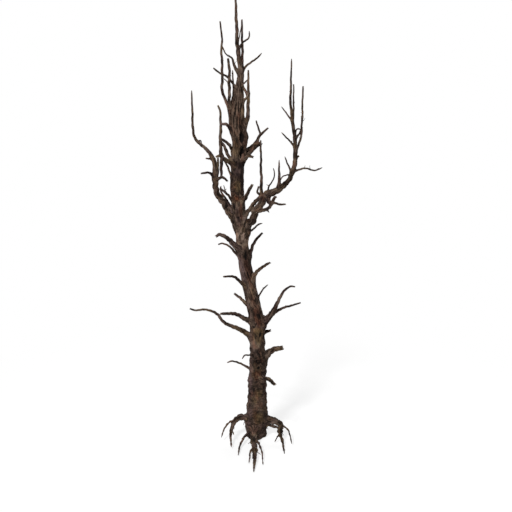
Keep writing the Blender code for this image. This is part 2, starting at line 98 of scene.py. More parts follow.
ROOT_BEARINGS = (188, 225, 268, 352, 112, 60)
# Flutes round the trunk: count, radians per metre, depth in radii.
FLUTES = ((2, 0.9, 0.035), (5, -1.3, 0.035), (8, 2.1, 0.025))
# Waves of thick bark, strong at the foot: count round the trunk, radians per metre, phase, depth.
WAVES = ((5, 18, 0.4, 0.008), (7, -22, 2.1, 0.007), (3, 25, 4.0, 0.006), (9, 13, 1.2, 0.005))
WAVES_TOP = 2.3  # they fade here
WAVES_FADE = 0.075  # over some four times this height
WAVES_LEFT = 0.3  # to this share
BUTTRESS = 0.10  # how far the foot swells toward each root, in its own radius
BUTTRESS_HEIGHT = 0.32
BUTTRESS_SPAN = 0.30
FACING = 6  # how narrow a buttress or burl is round the trunk
# Lumps on the trunk: height, bearing, how far they stand out and how tall they are.
BURLS = ((7.03, 340, 0.075, 0.16), (2.35, 5, 0.02, 0.15), (1.78, 10, 0.03, 0.16), (1.45, 185, 0.03, 0.12))

ON_TIP = "tip"  # in place of a limb's at: it goes on from its carrier's tip

# A limb leaves the limb named by on, at a way along it, which is a height on the trunk. It sets off
# on a bearing. Its girths are evenly spaced along it. Each run has a length, a climb and, where it
# turns, a new bearing. The twigs are fused to it, and it touches the limbs that it meets.
Limb = namedtuple("Limb", "at bearing girth runs on twigs meets", defaults=("trunk", (), ()))


def twig(at, bearing, girth, runs, on=None):
    """A side twig. It leaves the limb that it is listed with, or the one named by on."""
    return Limb(at, bearing, girth, runs, on)


ROOTS = {
    "root_left": Limb(0.4, 188, (0.16, 0.13, 0.1, 0.055, 0.03),
        ((0.4, 18), (0.07, -15), (0.19, -46, 202), (0.26, -38, 256), (0.36, -24, 275)), twigs=(
        twig(0.46, 188, (0.05, 0.03), ((0.26, -22), (0.25, -48, 225), (0.12, -50, 250))),
        twig(0.66, 260, (0.03, 0.02), ((0.14, -30), (0.14, -45, 300))),
    )),
    "root_front_left": Limb(0.15, 227, (0.08, 0.05, 0.03), ((0.37, 2), (0.3, -13, 245), (0.42, -9, 265))),
    "root_front": Limb(0.36, 259, (0.17, 0.14, 0.12, 0.1, 0.07, 0.02),
        ((0.45, -25), (0.5, -6, 275), (0.79, -6, 268)), twigs=(
        twig(0.8, 240, (0.05, 0.025), ((0.2, -5), (0.37, -13, 266))),
        twig(0.5, 300, (0.055, 0.02), ((0.24, 0), (0.35, -8, 282), (0.4, -12, 272))),
    )),
    "root_right": Limb(0.43, 352, (0.17, 0.14, 0.11, 0.05, 0.03),
        ((0.43, 2), (0.2, -28, 340), (0.21, -47, 252), (0.3, -24, 284), (0.33, -12, 274)), twigs=(
        twig(0.6, 338, (0.045, 0.025), ((0.22, -20), (0.38, -33, 281))),
        twig(0.8, 300, (0.04, 0.02), ((0.26, -50),)),
        twig(0.78, 225, (0.035, 0.02), ((0.26, -45),)),
        twig(0.33, 350, (0.08, 0.05), ((0.4, -6), (0.24, -4, 340)), on="trunk"),
    )),
    "root_back_left": Limb(0.34, 112, (0.14, 0.09, 0.04),
        ((0.38, -4), (0.22, -35, 105), (0.32, -28, 98)), twigs=(
        twig(0.45, 80, (0.04, 0.02), ((0.18, -20), (0.26, -44, 95))),
    )),
    "root_back_right": Limb(0.32, 60, (0.13, 0.08, 0.04), ((0.37, -2), (0.2, -32, 75), (0.36, -24, 88))),
}

BOUGHS = {
    "leader": Limb(ON_TIP, 180, (0.09, 0.072, 0.06, 0.035), ((0.4, 82), (0.6, 88.5), (0.5, 88)), twigs=(
        twig(0.46, 330, (0.022, 0.02), ((0.55, 78),)),
        twig(0.31, 320, (0.045, 0.04, 0.026), ((0.22, 77), (0.28, 24), (0.13, 92))),
    )),
    "bough_left_lower": Limb(5.03, 152, (0.14, 0.13, 0.115), ((1.11, 53.1), (0.43, 92)), twigs=(
        twig(1.39, 215, (0.055, 0.04), ((0.2, 42), (0.2, -5))),
        twig(1.33, 330, (0.067, 0.045), ((0.23, 22), (0.14, -38))),
        twig(1.31, 310, (0.055, 0.045), ((0.25, 60), (0.3, 92))),
    )),
    "bough_left_upper": Limb(ON_TIP, 152, (0.113, 0.075, 0.055, 0.048, 0.03),
        ((0.18, 75), (0.18, 52), (0.38, 36), (0.17, 52), (0.96, 89.2)), on="bough_left_lower", twigs=(
        twig(0.24, 205, (0.04, 0.036), ((0.17, 10),)),
        twig(0.79, 60, (0.034, 0.022), ((0.12, 18), (0.1, -68))),
    )),
    "bough_right_lower": Limb(4.8, 328, (0.17, 0.15, 0.14), ((0.56, 64.5), (0.63, 56.5)), twigs=(
        twig(0.22, 330, (0.05, 0.03), ((0.14, 25), (0.26, 43), (0.09, 15))),
    )),
    "bough_right_middle": Limb(ON_TIP, 328, (0.138, 0.14, 0.11, 0.09, 0.085),
        ((0.36, 21), (0.34, 48), (0.25, 69)), on="bough_right_lower", twigs=(
        twig(0.1, 300, (0.13, 0.08, 0.05), ((0.16, -68), (0.15, -9), (0.18, 54), (0.05, 16))),
        twig(0.13, 40, (0.037, 0.021), ((0.15, 84), (0.21, 46), (0.13, 74), (0.12, 112))),
        twig(0.9, 150, (0.042, 0.025), ((0.37, 64),)),
        twig(0.84, 215, (0.028, 0.025), ((0.08, 20), (0.15, -11), (0.11, -62))),
    )),
    "bough_right_upper": Limb(ON_TIP, 328, (0.09, 0.08, 0.062, 0.052, 0.04, 0.026),
        ((0.45, 89.3), (0.78, 99.5), (0.9, 89)), on="bough_right_middle", twigs=(
        twig(0.43, 205, (0.04, 0.025), ((0.43, 44),)),
        twig(0.96, 150, (0.036, 0.023), ((0.37, 48),)),
        twig(0.19, 10, (0.042, 0.036), ((0.09, 33),)),
    )),
    "bough_right_strand": Limb(5.05, 328, (0.09, 0.08), ((0.585, 66.2), (0.4, 40.5)),
        meets=("bough_right_lower",)),
    "bough_crown_right": Limb(6.55, 15, (0.18, 0.145, 0.065, 0.038), ((0.57, 43), (0.21, 65), (0.23, 39)),
        twigs=(
        twig(0.48, 12, (0.1, 0.08), ((0.17, 22),)),
        twig(0.79, 165, (0.045, 0.032), ((0.31, 72),)),
    )),
    "bough_back_upper": Limb(5.25, 92, (0.12, 0.08, 0.05, 0.03),
        ((0.55, 50), (0.5, 62), (0.7, 78), (0.9, 88)), twigs=(
        twig(0.8, 78, (0.045, 0.025), ((0.3, 50), (0.35, 80))),
        twig(1.3, 112, (0.04, 0.022), ((0.25, 45), (0.4, 75))),
        twig(1.85, 75, (0.032, 0.02), ((0.4, 65),)),
    )),
    "bough_back_lower": Limb(3.35, 110, (0.09, 0.06, 0.035), ((0.45, 35), (0.4, 50), (0.35, 62)), twigs=(
        twig(0.7, 80, (0.035, 0.022), ((0.32, 30),)),
    )),
}

SHOOTS = {
    "stem_left": Limb(6.45, 215, (0.095, 0.075, 0.06, 0.04), ((0.5, 30), (0.95, 91), (0.13, 62)), twigs=(
        twig(0.5, 215, (0.075, 0.055), ((0.44, -88),)),
        twig(0.5, 205, (0.05, 0.045), ((0.12, -12),)),
        twig(7.02, 215, (0.08, 0.055), ((0.47, 51), (0.15, 2)), on="trunk"),
        twig(6.62, 215, (0.07, 0.055), ((0.48, 54), (0.16, 23)), on="trunk"),
        twig(6.3, 215, (0.085, 0.055), ((0.71, 62), (0.13, 44)), on="trunk"),
        twig(5.99, 215, (0.05, 0.035), ((0.69, 63), (0.14, 38)), on="trunk"),
    )),
    "shoot_crown_left": Limb(7.28, 165, (0.068, 0.06, 0.05, 0.032),
        ((0.39, 64), (0.53, 70), (0.19, 100), (0.62, 88), (0.18, 97), (0.36, 83.5))),
    "shoot_crown_front": Limb(7.41, 222, (0.07, 0.062, 0.05), ((0.5, 64.5), (0.59, 92.5), (0.27, 82)),
        twigs=(
        twig(0.86, 150, (0.022, 0.018), ((0.16, 39),)),
    )),
    "shoot_crown_back": Limb(7.44, 112, (0.055, 0.045, 0.028), ((0.39, 64), (0.7, 85))),
    "shoot_crown_right": Limb(6.97, 335, (0.09, 0.08, 0.06, 0.038), ((0.38, 64), (0.3, 76), (0.88, 90)),
        twigs=(
        twig(7.6, 340, (0.05, 0.045), ((0.48, 55),), on="trunk"),
        twig(1.0, 155, (0.055, 0.05), ((0.28, 63),)),
        twig(8.12, 335, (0.035, 0.03), ((0.26, 43),), on="trunk"),
    )),
    "shoot_crown_twin": Limb(8.05, 25, (0.065, 0.055, 0.05, 0.036), ((0.34, 75), (1.13, 90.6)),
        meets=("leader",), twigs=(
        twig(0.42, 20, (0.05, 0.03), ((0.14, 60), (0.34, 33), (0.1, 48))),
    )),
    "shoot_right_inner": Limb(0.93, 0, (0.075, 0.06, 0.045, 0.038), ((0.07, 60), (1.17, 91)),
        on="bough_right_strand", meets=("bough_right_lower", "bough_right_middle"), twigs=(
        twig(0.08, 190, (0.045, 0.034), ((0.1, 25), (0.14, 100))),
    )),
    "shoot_right_middle": Limb(0.41, 310, (0.075, 0.05, 0.026), ((0.6, 91),), on="bough_right_middle"),
}

BRANCHES = {
    "branch_left_1": Limb(4.53, 205, (0.12, 0.095, 0.062), ((0.62, 43.5), (0.13, 24), (0.08, -28))),
    "branch_left_2": Limb(4.27, 150, (0.07, 0.05, 0.032), ((0.54, 43), (0.22, 12), (0.1, -24))),
    "branch_left_3": Limb(3.58, 218, (0.085, 0.065, 0.038), ((0.66, 47), (0.31, 7))),
    "branch_left_4": Limb(3.15, 145, (0.08, 0.055), ((0.65, 28),)),
    "branch_left_5": Limb(2.8, 210, (0.12, 0.085, 0.055), ((0.72, 33), (0.34, 7))),
    "branch_left_6": Limb(2.37, 163, (0.125, 0.1, 0.072, 0.052, 0.04),
        ((0.49, 36), (0.39, 11), (0.33, 50), (0.27, 18), (0.3, -13), (0.13, 15))),
    "branch_left_7": Limb(2.05, 232, (0.042, 0.03), ((0.51, 19), (0.1, -40))),
    "branch_left_8": Limb(1.6, 150, (0.065, 0.032), ((0.48, 20), (0.27, 1), (0.12, -31))),
    "branch_right_1": Limb(4.14, 32, (0.085, 0.07, 0.048), ((0.68, 71), (0.25, 36))),
    "branch_right_2": Limb(3.76, 325, (0.09, 0.072, 0.048), ((0.51, 60), (0.35, 31))),
    "branch_right_3": Limb(3.24, 40, (0.045, 0.03), ((0.46, 57), (0.17, 24))),
    "branch_right_4": Limb(2.74, 342, (0.165, 0.11, 0.065, 0.035),
        ((0.47, 46), (0.67, 65), (0.21, 37), (0.09, -6)), twigs=(
        twig(0.5, 15, (0.065, 0.036), ((0.32, 23), (0.4, 11))),
    )),
    "branch_right_5": Limb(1.82, 12, (0.2, 0.13, 0.11, 0.105), ((0.49, 45), (0.24, 7))),
    "branch_right_6": Limb(1.49, 305, (0.09, 0.075), ((0.42, 20), (0.28, -12))),
    "branch_right_stub": Limb(2.62, 5, (0.075, 0.058), ((0.21, 0), (0.09, 25))),
    "branch_back": Limb(1.9, 88, (0.08, 0.05, 0.035), ((0.35, 25), (0.32, 38))),
    "snag_right_lower": Limb(5.52, 320, (0.082, 0.066), ((0.68, 55),)),
    "snag_right_upper": Limb(6.48, 340, (0.085, 0.055), ((0.34, 42), (0.11, -16)),
        meets=("bough_crown_right",)),
}

TWIG_MASSES = {
    "twigs_crown_left": Limb(8.4, 200, (0.065, 0.055, 0.028, 0.026),
        ((0.2, 52), (0.2, 76), (0.15, 22), (0.18, 66)), meets=("leader",)),
    "twigs_crown_crook": Limb(8.05, 195, (0.05, 0.034), ((0.41, 53), (0.16, 15), (0.18, 39))),
    "twigs_left_low": Limb(5.4, 152, (0.065, 0.045), ((0.53, 56), (0.2, 28)), meets=("bough_left_lower",),
        twigs=(
        twig(0.58, 172, (0.025, 0.018), ((0.16, 78),)),
        twig(5.1, 152, (0.1, 0.06, 0.032), ((0.6, 60), (0.34, 52), (0.1, 95)), on="trunk"),
    )),
    "twigs_right_low": Limb(0.81, 312, (0.08, 0.07, 0.05, 0.034),
        ((0.2, 4), (0.26, 20), (0.22, 42), (0.16, -10), (0.18, 10)), on="bough_right_lower", twigs=(
        twig(0.38, 340, (0.032, 0.026), ((0.08, -50),)),
    )),
    "twigs_right_side": Limb(0.93, 340, (0.044, 0.026), ((0.31, 20), (0.19, -22), (0.19, 25)),
        on="bough_right_middle", meets=("bough_right_upper",)),
    "twigs_right_outer": Limb(0.28, 300, (0.048, 0.04, 0.033), ((0.44, 59), (0.99, 88.3)),
        on="bough_right_upper", twigs=(
        twig(0.56, 300, (0.042, 0.038), ((0.33, 45),), on="bough_right_upper"),
        twig(0.64, 300, (0.032, 0.028), ((0.19, 66), (0.17, -6)), on="bough_right_upper"),
        twig(0.75, 330, (0.03, 0.022), ((0.1, 75),)),
    )),
    "twigs_right_top": Limb(0.86, 85, (0.042, 0.035, 0.025), ((0.11, 50), (0.74, 90)),
        on="bough_right_upper"),
}

KINDS = {"boughs": BOUGHS, "shoots": SHOOTS, "branches": BRANCHES, "roots": ROOTS, "twigs": TWIG_MASSES}
LIMBS = {name: spec for limbs in KINDS.values() for name, spec in limbs.items()}

# ---------------------------------------------------------------- paths, by the solids' rule


def heading(climb, bearing):
    """The unit vector at a climb above level, on a bearing."""
    climb, bearing = math.radians(climb), math.radians(bearing)
    flat = math.cos(climb)
    return Vector((flat * math.cos(bearing), flat * math.sin(bearing), math.sin(climb)))


def spread(values, share):
    """The value at a share, from 0 to 1, of the way through evenly spaced values."""
    place = share * (len(values) - 1)
    index = min(int(place), len(values) - 2)
    return values[index] + (values[index + 1] - values[index]) * (place - index)


def distances(points):
    """How far along the points each of them is."""
    run = [0.0]
    for a, b in zip(points, points[1:]):
        run.append(run[-1] + (b - a).length)
    return run


def rounded(corners, step):
    """Evenly spaced points along the corners, each corner eased over BEND at most on both sides."""
    eased = [corners[0]]
    for before, corner, after in zip(corners, corners[1:], corners[2:]):
        shorter = min((corner - before).length, (after - corner).length)
        ease = min(BEND, BEND_SHARE * shorter)
        start = corner + (before - corner).normalized() * ease
        end = corner + (after - corner).normalized() * ease
        for turn in range(BEND_POINTS + 1):
            t = turn / BEND_POINTS
            eased.append(start * (1 - t) ** 2 + corner * (2 * t * (1 - t)) + end * t**2)
    eased.append(corners[-1])
    run = distances(eased)
    count = max(2, round(run[-1] / step))
    points = []
    upper = 1
    for index in range(count + 1):
        way = run[-1] * index / count
        while run[upper] < way and upper < len(run) - 1:
            upper += 1
        share = (way - run[upper - 1]) / (run[upper] - run[upper - 1])
        points.append(eased[upper - 1].lerp(eased[upper], share))
    return points


def crooked(points, name, girth, kinked=1):
    """The path with the solids' wander, and with short kinks of its own."""
    draw = random.Random(name)
    phases = [draw.uniform(0, 2 * math.pi) for _ in CROOK]
    kinks = [draw.uniform(0, 2 * math.pi) for _ in CROOK]
    run = distances(points)
    moved = []
    for point, way in zip(points, run):
        fade = min(1, way / run[-1] / CALM, (1 - way / run[-1]) / CALM)
        turn = 2 * math.pi * way / WAVE
        wander = Vector([share * math.sin(turn + phase) for share, phase in zip(CROOK, phases)])
        bend = 2 * math.pi * way / KINK_WAVE
        kink = Vector([math.sin(bend * (1 + KINK_SKEW * i) + phase) for i, phase in enumerate(kinks)])
        moved.append(point + (wander + kink * (KINK * kinked)) * (fade * girth))
    return moved


def trunk_path():
    """(middle, radius, height) up the trunk."""
    path = []
    for point in rounded([Vector((x, y, height)) for height, x, y, _ in TRUNK], TRUNK_PITCH):
        upper = next((i for i, row in enumerate(TRUNK) if row[0] > point.z), len(TRUNK) - 1)
        low, high = TRUNK[upper - 1], TRUNK[upper]
        share = (point.z - low[0]) / (high[0] - low[0])
        path.append((point, (low[3] + (high[3] - low[3]) * share) / 2, point.z))
    return path


def along(path, way):
    """(middle, radius) of a path at a way along its solid, or at a height of the trunk's."""
    for (a, wide, low), (b, narrow, high) in zip(path, path[1:]):
        if high >= way:
            share = (way - low) / (high - low)
            return a.lerp(b, share), wide + (narrow - wide) * share
    return path[-1][:2]


def end_of(path):
    """The way a path runs at its tip."""
    return (path[-1][0] - path[-2][0]).normalized()


def limb_path(name, spec, carrier):
    """(middle, radius, way along the solid) along a limb that leaves its carrier's path."""
    if spec.at == ON_TIP:
        start = carrier[-1][0]
        corners = [start, start + end_of(carrier) * (STRAIGHT * spec.girth[0])]
        swell = 0
    else:
        start, radius = along(carrier, spec.at)
        corners = [start]
        swell = max(0, min(COLLAR, FOOT_SHARE * 2 * radius / spec.girth[0] - 1))
    bearing = spec.bearing
    for length, climb, *turned in spec.runs:
        bearing = turned[0] if turned else bearing
        corners.append(corners[-1] + heading(climb, bearing) * length)
    # The solid's rings stand further apart, so the way along it is a little shorter.
    step = max(RING_LEAST, RING_PITCH * spec.girth[-1])
    length = distances(crooked(rounded(corners, step), name, spec.girth[-1], 0))[-1]
    points = rounded(corners, PITCH)
    run = distances(points)
    path = []
    for point, way in zip(crooked(points, name, spec.girth[-1]), run):
        way *= length / run[-1]
        girth = spread(spec.girth, way / length)
        collar = 1 + swell * math.exp(-max(0, way - spec.girth[0]) / spec.girth[0])
        path.append((point, girth / 2 * collar, way))
    return path


def tip_lead(path, girth):
    """The last of a carrier's path, for a limb that goes on from its tip to start inside it."""
    lead = []
    back = 0
    for (a, _, _), (b, radius, _) in reversed(list(zip(path, path[1:]))):
        lead.insert(0, (b, min(radius, girth / 2) * (1 - LEAD_TAPER * back / (LEAD * girth)), 0))
        back += (b - a).length
        if back > LEAD * girth:
            break
    return lead


# ---------------------------------------------------------------- noise

# The primes that mix a cell's place and seed into a number.
MIX_X, MIX_Y, MIX_Z, MIX_SEED = 374761393, 668265263, 2246822519, 3266489917
NOISE_REACH = 1.7  # brings the noise to about -1 to 1
CREST = 1.6  # how narrow a ridge's crest is


def dice(cells, seed):
    """A number from 0 to 1 for each whole-number point, always the same one."""
    x, y, z = (cells[..., i].astype(np.uint32) for i in range(3))
    mixed = x * np.uint32(MIX_X) + y * np.uint32(MIX_Y) + z * np.uint32(MIX_Z)
    mixed = mixed + np.uint32(seed * MIX_SEED & 0xFFFFFFFF)
    for shift, factor in ((15, MIX_Z), (13, MIX_SEED)):
        mixed = (mixed ^ (mixed >> np.uint32(shift))) * np.uint32(factor)
    mixed = mixed ^ (mixed >> np.uint32(16))
    return (mixed >> np.uint32(8)).astype(np.float64) / (1 << 24)


def noise(points, seed=0):
    """Smooth noise, about -1 to 1, at each point."""
    base = np.floor(points)
    part = points - base
    cells = base.astype(np.int64)
    fade = part**3 * (part * (part * 6 - 15) + 10)
    total = np.zeros(points.shape[:-1])
    for corner in itertools.product((0, 1), repeat=3):
        corner = np.array(corner)
        slope = [dice(cells + corner, seed + 7 * axis) * 2 - 1 for axis in range(3)]
        away = part - corner
        height = sum(away[..., axis] * slope[axis] for axis in range(3))
        total += height * np.prod(np.where(corner, fade, 1 - fade), axis=-1)
    return total * NOISE_REACH


def octaves(points, seed, layers, shape):
    """Ever finer and weaker noise in layers, each put through a shape."""
    return sum(shape(noise(points * 2**layer, seed + 31 * layer)) * 0.5**layer for layer in range(layers))


def layered(points, seed, layers=2):
    """Noise with finer noise on it."""
    return octaves(points, seed, layers, lambda value: value)


def ridged(points, seed, layers=2):
    """Noise with sharp crests at 1 and broad hollows near 0."""
    total = octaves(points, seed, layers, lambda value: 1 - np.abs(value) * CREST)
    return np.clip(total / (2 - 2 * 0.5**layers), 0, 1)


def plates(points, seed):
    """Cells round scattered middles: (a number for each cell, how far over its border, its offset)."""
    base = np.floor(points)
    cells = base.astype(np.int64)
    near = np.full(points.shape[:-1], 9.0)
    second = near.copy()
    number = np.zeros_like(near)
    lift = np.zeros_like(near)
    for offset in itertools.product((-1, 0, 1), repeat=3):
        place = cells + np.array(offset)
        middle = np.stack([dice(place, seed + 11 * axis) for axis in range(3)], axis=-1)
        away = points - (base + offset + middle)
        reach = np.sqrt((away**2).sum(axis=-1))
        closer = reach < near
        second = np.where(closer, near, np.minimum(second, reach))
        number = np.where(closer, dice(place, seed + 5), number)
        lift = np.where(closer, away[..., 2], lift)
        near = np.where(closer, reach, near)
    return number, second - near, lift


def smooth(low, high, value):
    """0 below low, 1 above high, eased between. Low may be above high."""
    share = np.clip((value - low) / (high - low), 0, 1)
    return share * share * (3 - 2 * share)


def hill(value):
    """1 at 0, falling off to both sides."""
    return np.exp(-(value**2))


def turned_from(bearing, angle):
    """How far an angle is turned from a bearing in radians, by half a turn at most."""
    return np.angle(np.exp(1j * (angle - bearing)))


# ---------------------------------------------------------------- tubes

GRAIN_TWIST = 0.8  # radians that the grain turns round a limb for each metre along it
GRAIN_APART = 0.37  # between the grains of limbs whose seeds are one apart
PLUMP = 0.05  # how much fatter than its solid a limb is, in radii
SWELL = 0.05  # and how far it swells and thins along its run, in girths
ROOT_SWELL = 0.25  # and how far a root does
SWELL_WAVE = 0.09


class Shaft:
    """One limb's path with a frame at each point, and the surface round it."""

    def __init__(self, name, kind, path, first=None):
        self.kind = kind
        self.seed = sum(ord(letter) * (place + 7) for place, letter in enumerate(name)) % 997
        self.middles = np.array([row[0] for row in path])
        self.radii = np.array([row[1] for row in path])
        steps = np.linalg.norm(np.diff(self.middles, axis=0), axis=1)
        self.run = np.concatenate([[0], np.cumsum(steps)])
        self.frames(first)
        around = 2 * math.pi * np.percentile(self.radii, 80)
        self.sides = int(np.clip(round(around / SIDE), FEWEST_SIDES, MOST_SIDES))
        self.angles = 2 * math.pi * np.arange(self.sides) / self.sides

    def frames(self, first):
        """Turns a frame along the path, from the first way that it runs, without any twist."""
        points = [Vector(point) for point in self.middles]
        first = Vector(first) if first else (points[1] - points[0]).normalized()
        across = Vector((0, 1, 0)) if abs(first.x) > 0.9 else Vector((1, 0, 0))
        before = first
        rows = []
        for index in range(len(points)):
            ahead = first
            if index:
                ahead = (points[min(index + 1, len(points) - 1)] - points[index - 1]).normalized()
            across.rotate(before.rotation_difference(ahead))
            across = (across - ahead * across.dot(ahead)).normalized()
            before = ahead
            rows.append((ahead[:], across[:], ahead.cross(across)[:]))
        self.ahead, self.across, self.upright = np.array(rows).transpose(1, 0, 2)

    def surface(self):
        """Fills in the bare tube: outward directions, radii and grain places, ring by ring."""
        angle = self.angles[None]
        self.outward = (
            self.across[:, None] * np.cos(angle)[..., None]
            + self.upright[:, None] * np.sin(angle)[..., None]
        )
        self.bare = self.radii[:, None] + 0 * angle
        self.height = self.middles[:, None, 2] + 0 * angle
        if self.kind == "trunk":
            self.bare = trunk_outline(self.bare, self.height, angle)
        turned = angle + GRAIN_TWIST * self.run[:, None]
        flow = self.bare.mean(axis=1)[:, None]
        ways = (flow * np.cos(turned), flow * np.sin(turned), self.run[:, None] + 0 * angle)
        self.grain = np.stack(ways, axis=-1) + self.seed * GRAIN_APART
        self.web = np.zeros_like(self.bare)
        self.relief, self.look = (trunk_bark if self.kind == "trunk" else limb_bark)(self)
        self.relief = self.relief - self.relief.mean(axis=1)[:, None]
        if self.kind != "trunk":
            line = np.stack([self.run / SWELL_WAVE, self.run * 0 + self.seed, self.run * 0], -1)
            swell = ROOT_SWELL if self.kind == "roots" else SWELL
            plump = PLUMP * self.radii + swell * 2 * self.radii * layered(line, 5)
            self.relief = self.relief + plump[:, None]

    def place(self, out):
        """The surface's points, this far out from the bare tube."""
        return self.middles[:, None] + self.outward * (self.bare + out)[..., None]

    def nearest_ring(self, point):
        return int(((self.middles - point) ** 2).sum(axis=1).argmin())

    def clearance(self, points):
        """How far each point is outside the bare tube."""
        away = points[:, None] - self.middles[None]
        nearest = np.einsum("ijk,ijk->ij", away, away).argmin(axis=1)
        gaps = []
        for step in (-1, 0):
            low = np.clip(nearest + step, 0, len(self.middles) - 2)
            leg = self.middles[low + 1] - self.middles[low]
            from_low = points - self.middles[low]
            share = np.clip((from_low * leg).sum(1) / (leg * leg).sum(1), 0, 1)
            off = from_low - leg * share[:, None]
            radius = self.radii[low] + (self.radii[low + 1] - self.radii[low]) * share
            if self.kind == "trunk":
                angle = np.arctan2((off * self.upright[low]).sum(1), (off * self.across[low]).sum(1))
                radius = trunk_outline(radius, self.middles[low, 2] + leg[:, 2] * share, angle)
            gaps.append(np.linalg.norm(off, axis=1) - radius)
        return np.minimum(*gaps)


def facing(angle, bearing):
    """1 where the angle is the bearing's, falling off to each side."""
    return np.exp(FACING * (np.cos(angle - math.radians(bearing)) - 1))


def trunk_outline(radius, height, angle):
    """The trunk's radius at an angle: fluted and wavy, with a buttress to each root, and its burls."""
    flutes = sum(depth * np.cos(count * angle + twist * height) for count, twist, depth in FLUTES)
    toward = sum(facing(angle, bearing) for bearing in ROOT_BEARINGS)
    buttress = BUTTRESS * hill((height - BUTTRESS_HEIGHT) / BUTTRESS_SPAN) * toward
    lumps = sum(
        out * facing(angle, bearing) * hill((height - middle) / tall)
        for middle, bearing, out, tall in BURLS
    )
    waves = sum(
        depth * np.cos(count * angle + turn * height + phase) for count, turn, phase, depth in WAVES
    )
    fade = 1 / (1 + np.exp((height - WAVES_TOP) / WAVES_FADE))
    return radius * (1 + flutes + buttress) + lumps + waves * (WAVES_LEFT + (1 - WAVES_LEFT) * fade)


# ---------------------------------------------------------------- bark

# Hollows in the trunk: height, bearing, how deep, and how wide and tall they are.
HOLLOWS = (
    (7.10, 304, 0.060, 0.046, 0.105),
    (6.76, 316, 0.070, 0.050, 0.140),
    (4.47, 290, 0.018, 0.030, 0.080),
    (4.05, 282, 0.012, 0.018, 0.070),
    (2.62, 290, 0.020, 0.026, 0.050),
    (1.96, 262, 0.016, 0.020, 0.030),
    (1.82, 278, 0.018, 0.024, 0.035),
    (5.60, 235, 0.020, 0.020, 0.080),
    (3.05, 300, 0.016, 0.020, 0.060),
    (5.95, 95, 0.040, 0.030, 0.080),
    (1.15, 80, 0.035, 0.030, 0.090),
)
# Knots on the trunk: height, bearing, how far they stand out and how wide they are.
KNOTS = (
    (7.13, 338, 0.034, 0.050),
    (1.72, 205, 0.030, 0.055),
    (7.30, 262, 0.020, 0.050),
    (5.35, 262, 0.014, 0.040),
    (3.72, 268, 0.014, 0.040),
    (1.28, 248, 0.016, 0.045),
    (3.20, 100, 0.026, 0.055),
    (4.60, 75, 0.022, 0.050),
    (6.40, 130, 0.026, 0.050),
)
# Tints on the trunk: height, bearing, how strong, and how wide and tall they are. Some paint light and
# shade rather than the bark's colour: the cool and pale spots on bearings 200 to 226 paint the cooler,
# greyer light on the left edge, and the dark spots on bearings 308 to 342 paint shade on the side turned
# from the light, among them under a branch at 1.92 and beside the hollows at 6.95.
TINTS = {
    "moss": (
        (2.62, 272, 0.9, 0.12, 0.22), (1.18, 278, 0.9, 0.12, 0.10), (1.02, 255, 0.7, 0.08, 0.10),
        (0.58, 285, 0.8, 0.13, 0.16), (6.88, 255, 0.6, 0.08, 0.22), (6.02, 278, 0.8, 0.09, 0.16),
        (2.30, 90, 0.7, 0.20, 0.40),
    ),
    "rust": (
        (5.77, 266, 1.0, 0.06, 0.065), (5.50, 292, 0.7, 0.04, 0.20), (3.05, 280, 0.9, 0.08, 0.26),
        (3.45, 275, 0.6, 0.06, 0.20), (4.10, 290, 0.7, 0.06, 0.35), (1.62, 268, 0.9, 0.10, 0.12),
        (1.98, 285, 0.7, 0.08, 0.10), (0.75, 262, 0.6, 0.08, 0.12), (7.45, 290, 0.6, 0.05, 0.20),
        (4.20, 100, 0.6, 0.12, 0.30),
    ),
    "cool": (
        (6.40, 270, 1.0, 0.40, 0.20), (6.40, 90, 0.9, 0.40, 0.20), (5.36, 262, 1.0, 0.05, 0.18),
        (4.10, 225, 1.0, 0.10, 0.45), (3.20, 200, 0.8, 0.10, 0.40), (1.55, 204, 1.0, 0.11, 0.55),
        (0.55, 215, 0.9, 0.12, 0.30),
    ),
    "pale": (
        (4.87, 268, 1.0, 0.24, 0.20), (4.87, 80, 0.8, 0.20, 0.20), (4.18, 226, 0.45, 0.07, 0.34),
        (2.36, 245, 0.60, 0.14, 0.12), (2.70, 262, 0.35, 0.09, 0.16), (1.72, 212, 0.40, 0.08, 0.28),
        (1.05, 280, 0.25, 0.08, 0.10), (3.62, 268, 0.20, 0.08, 0.30), (5.60, 280, 0.30, 0.08, 0.10),
        (6.00, 285, 0.25, 0.06, 0.12), (5.30, 310, 0.30, 0.05, 0.20),
    ),
    "dark": (
        (4.28, 308, 1.0, 0.10, 0.32), (3.55, 205, 0.5, 0.05, 0.12), (1.92, 272, 0.7, 0.12, 0.11),
        (2.45, 318, 0.8, 0.07, 0.22), (1.38, 318, 0.8, 0.07, 0.20), (0.42, 322, 0.6, 0.10, 0.35),
        (6.20, 205, 0.9, 0.08, 0.40), (6.25, 335, 0.9, 0.08, 0.35), (1.92, 342, 1.0, 0.10, 0.20),
        (5.40, 262, 0.4, 0.03, 0.16), (6.95, 322, 0.8, 0.07, 0.35), (1.60, 100, 0.7, 0.12, 0.20),
    ),
}
# Patches all over the trunk: how wide they are, their seed and how strong they are.
PATCHES = {
    "pale": (0.45, 81, 0.2),
    "moss": (0.30, 83, 0.5),
    "rust": (0.22, 85, 0.5),
    "cool": (0.35, 89, 0.5),
    "dark": (0.16, 91, 0.55),
}
# The trunk's kinds of bark: the heights where each begins, is full, starts to go and is gone. The
# foot's begins below the ground, and the crown's goes on past the top.
ZONES = {
    "foot": (-2, -1, 1.7, 2.5),
    "furrowed": (1.5, 2.3, 5.6, 5.8),
    "scaled": (5.6, 5.8, 6.15, 6.25),
    "bare": (6.15, 6.25, 6.55, 6.75),
    "crown": (6.5, 6.7, 11, 12),
    "bundle": (6.95, 7.30, 8.0, 8.35),
}
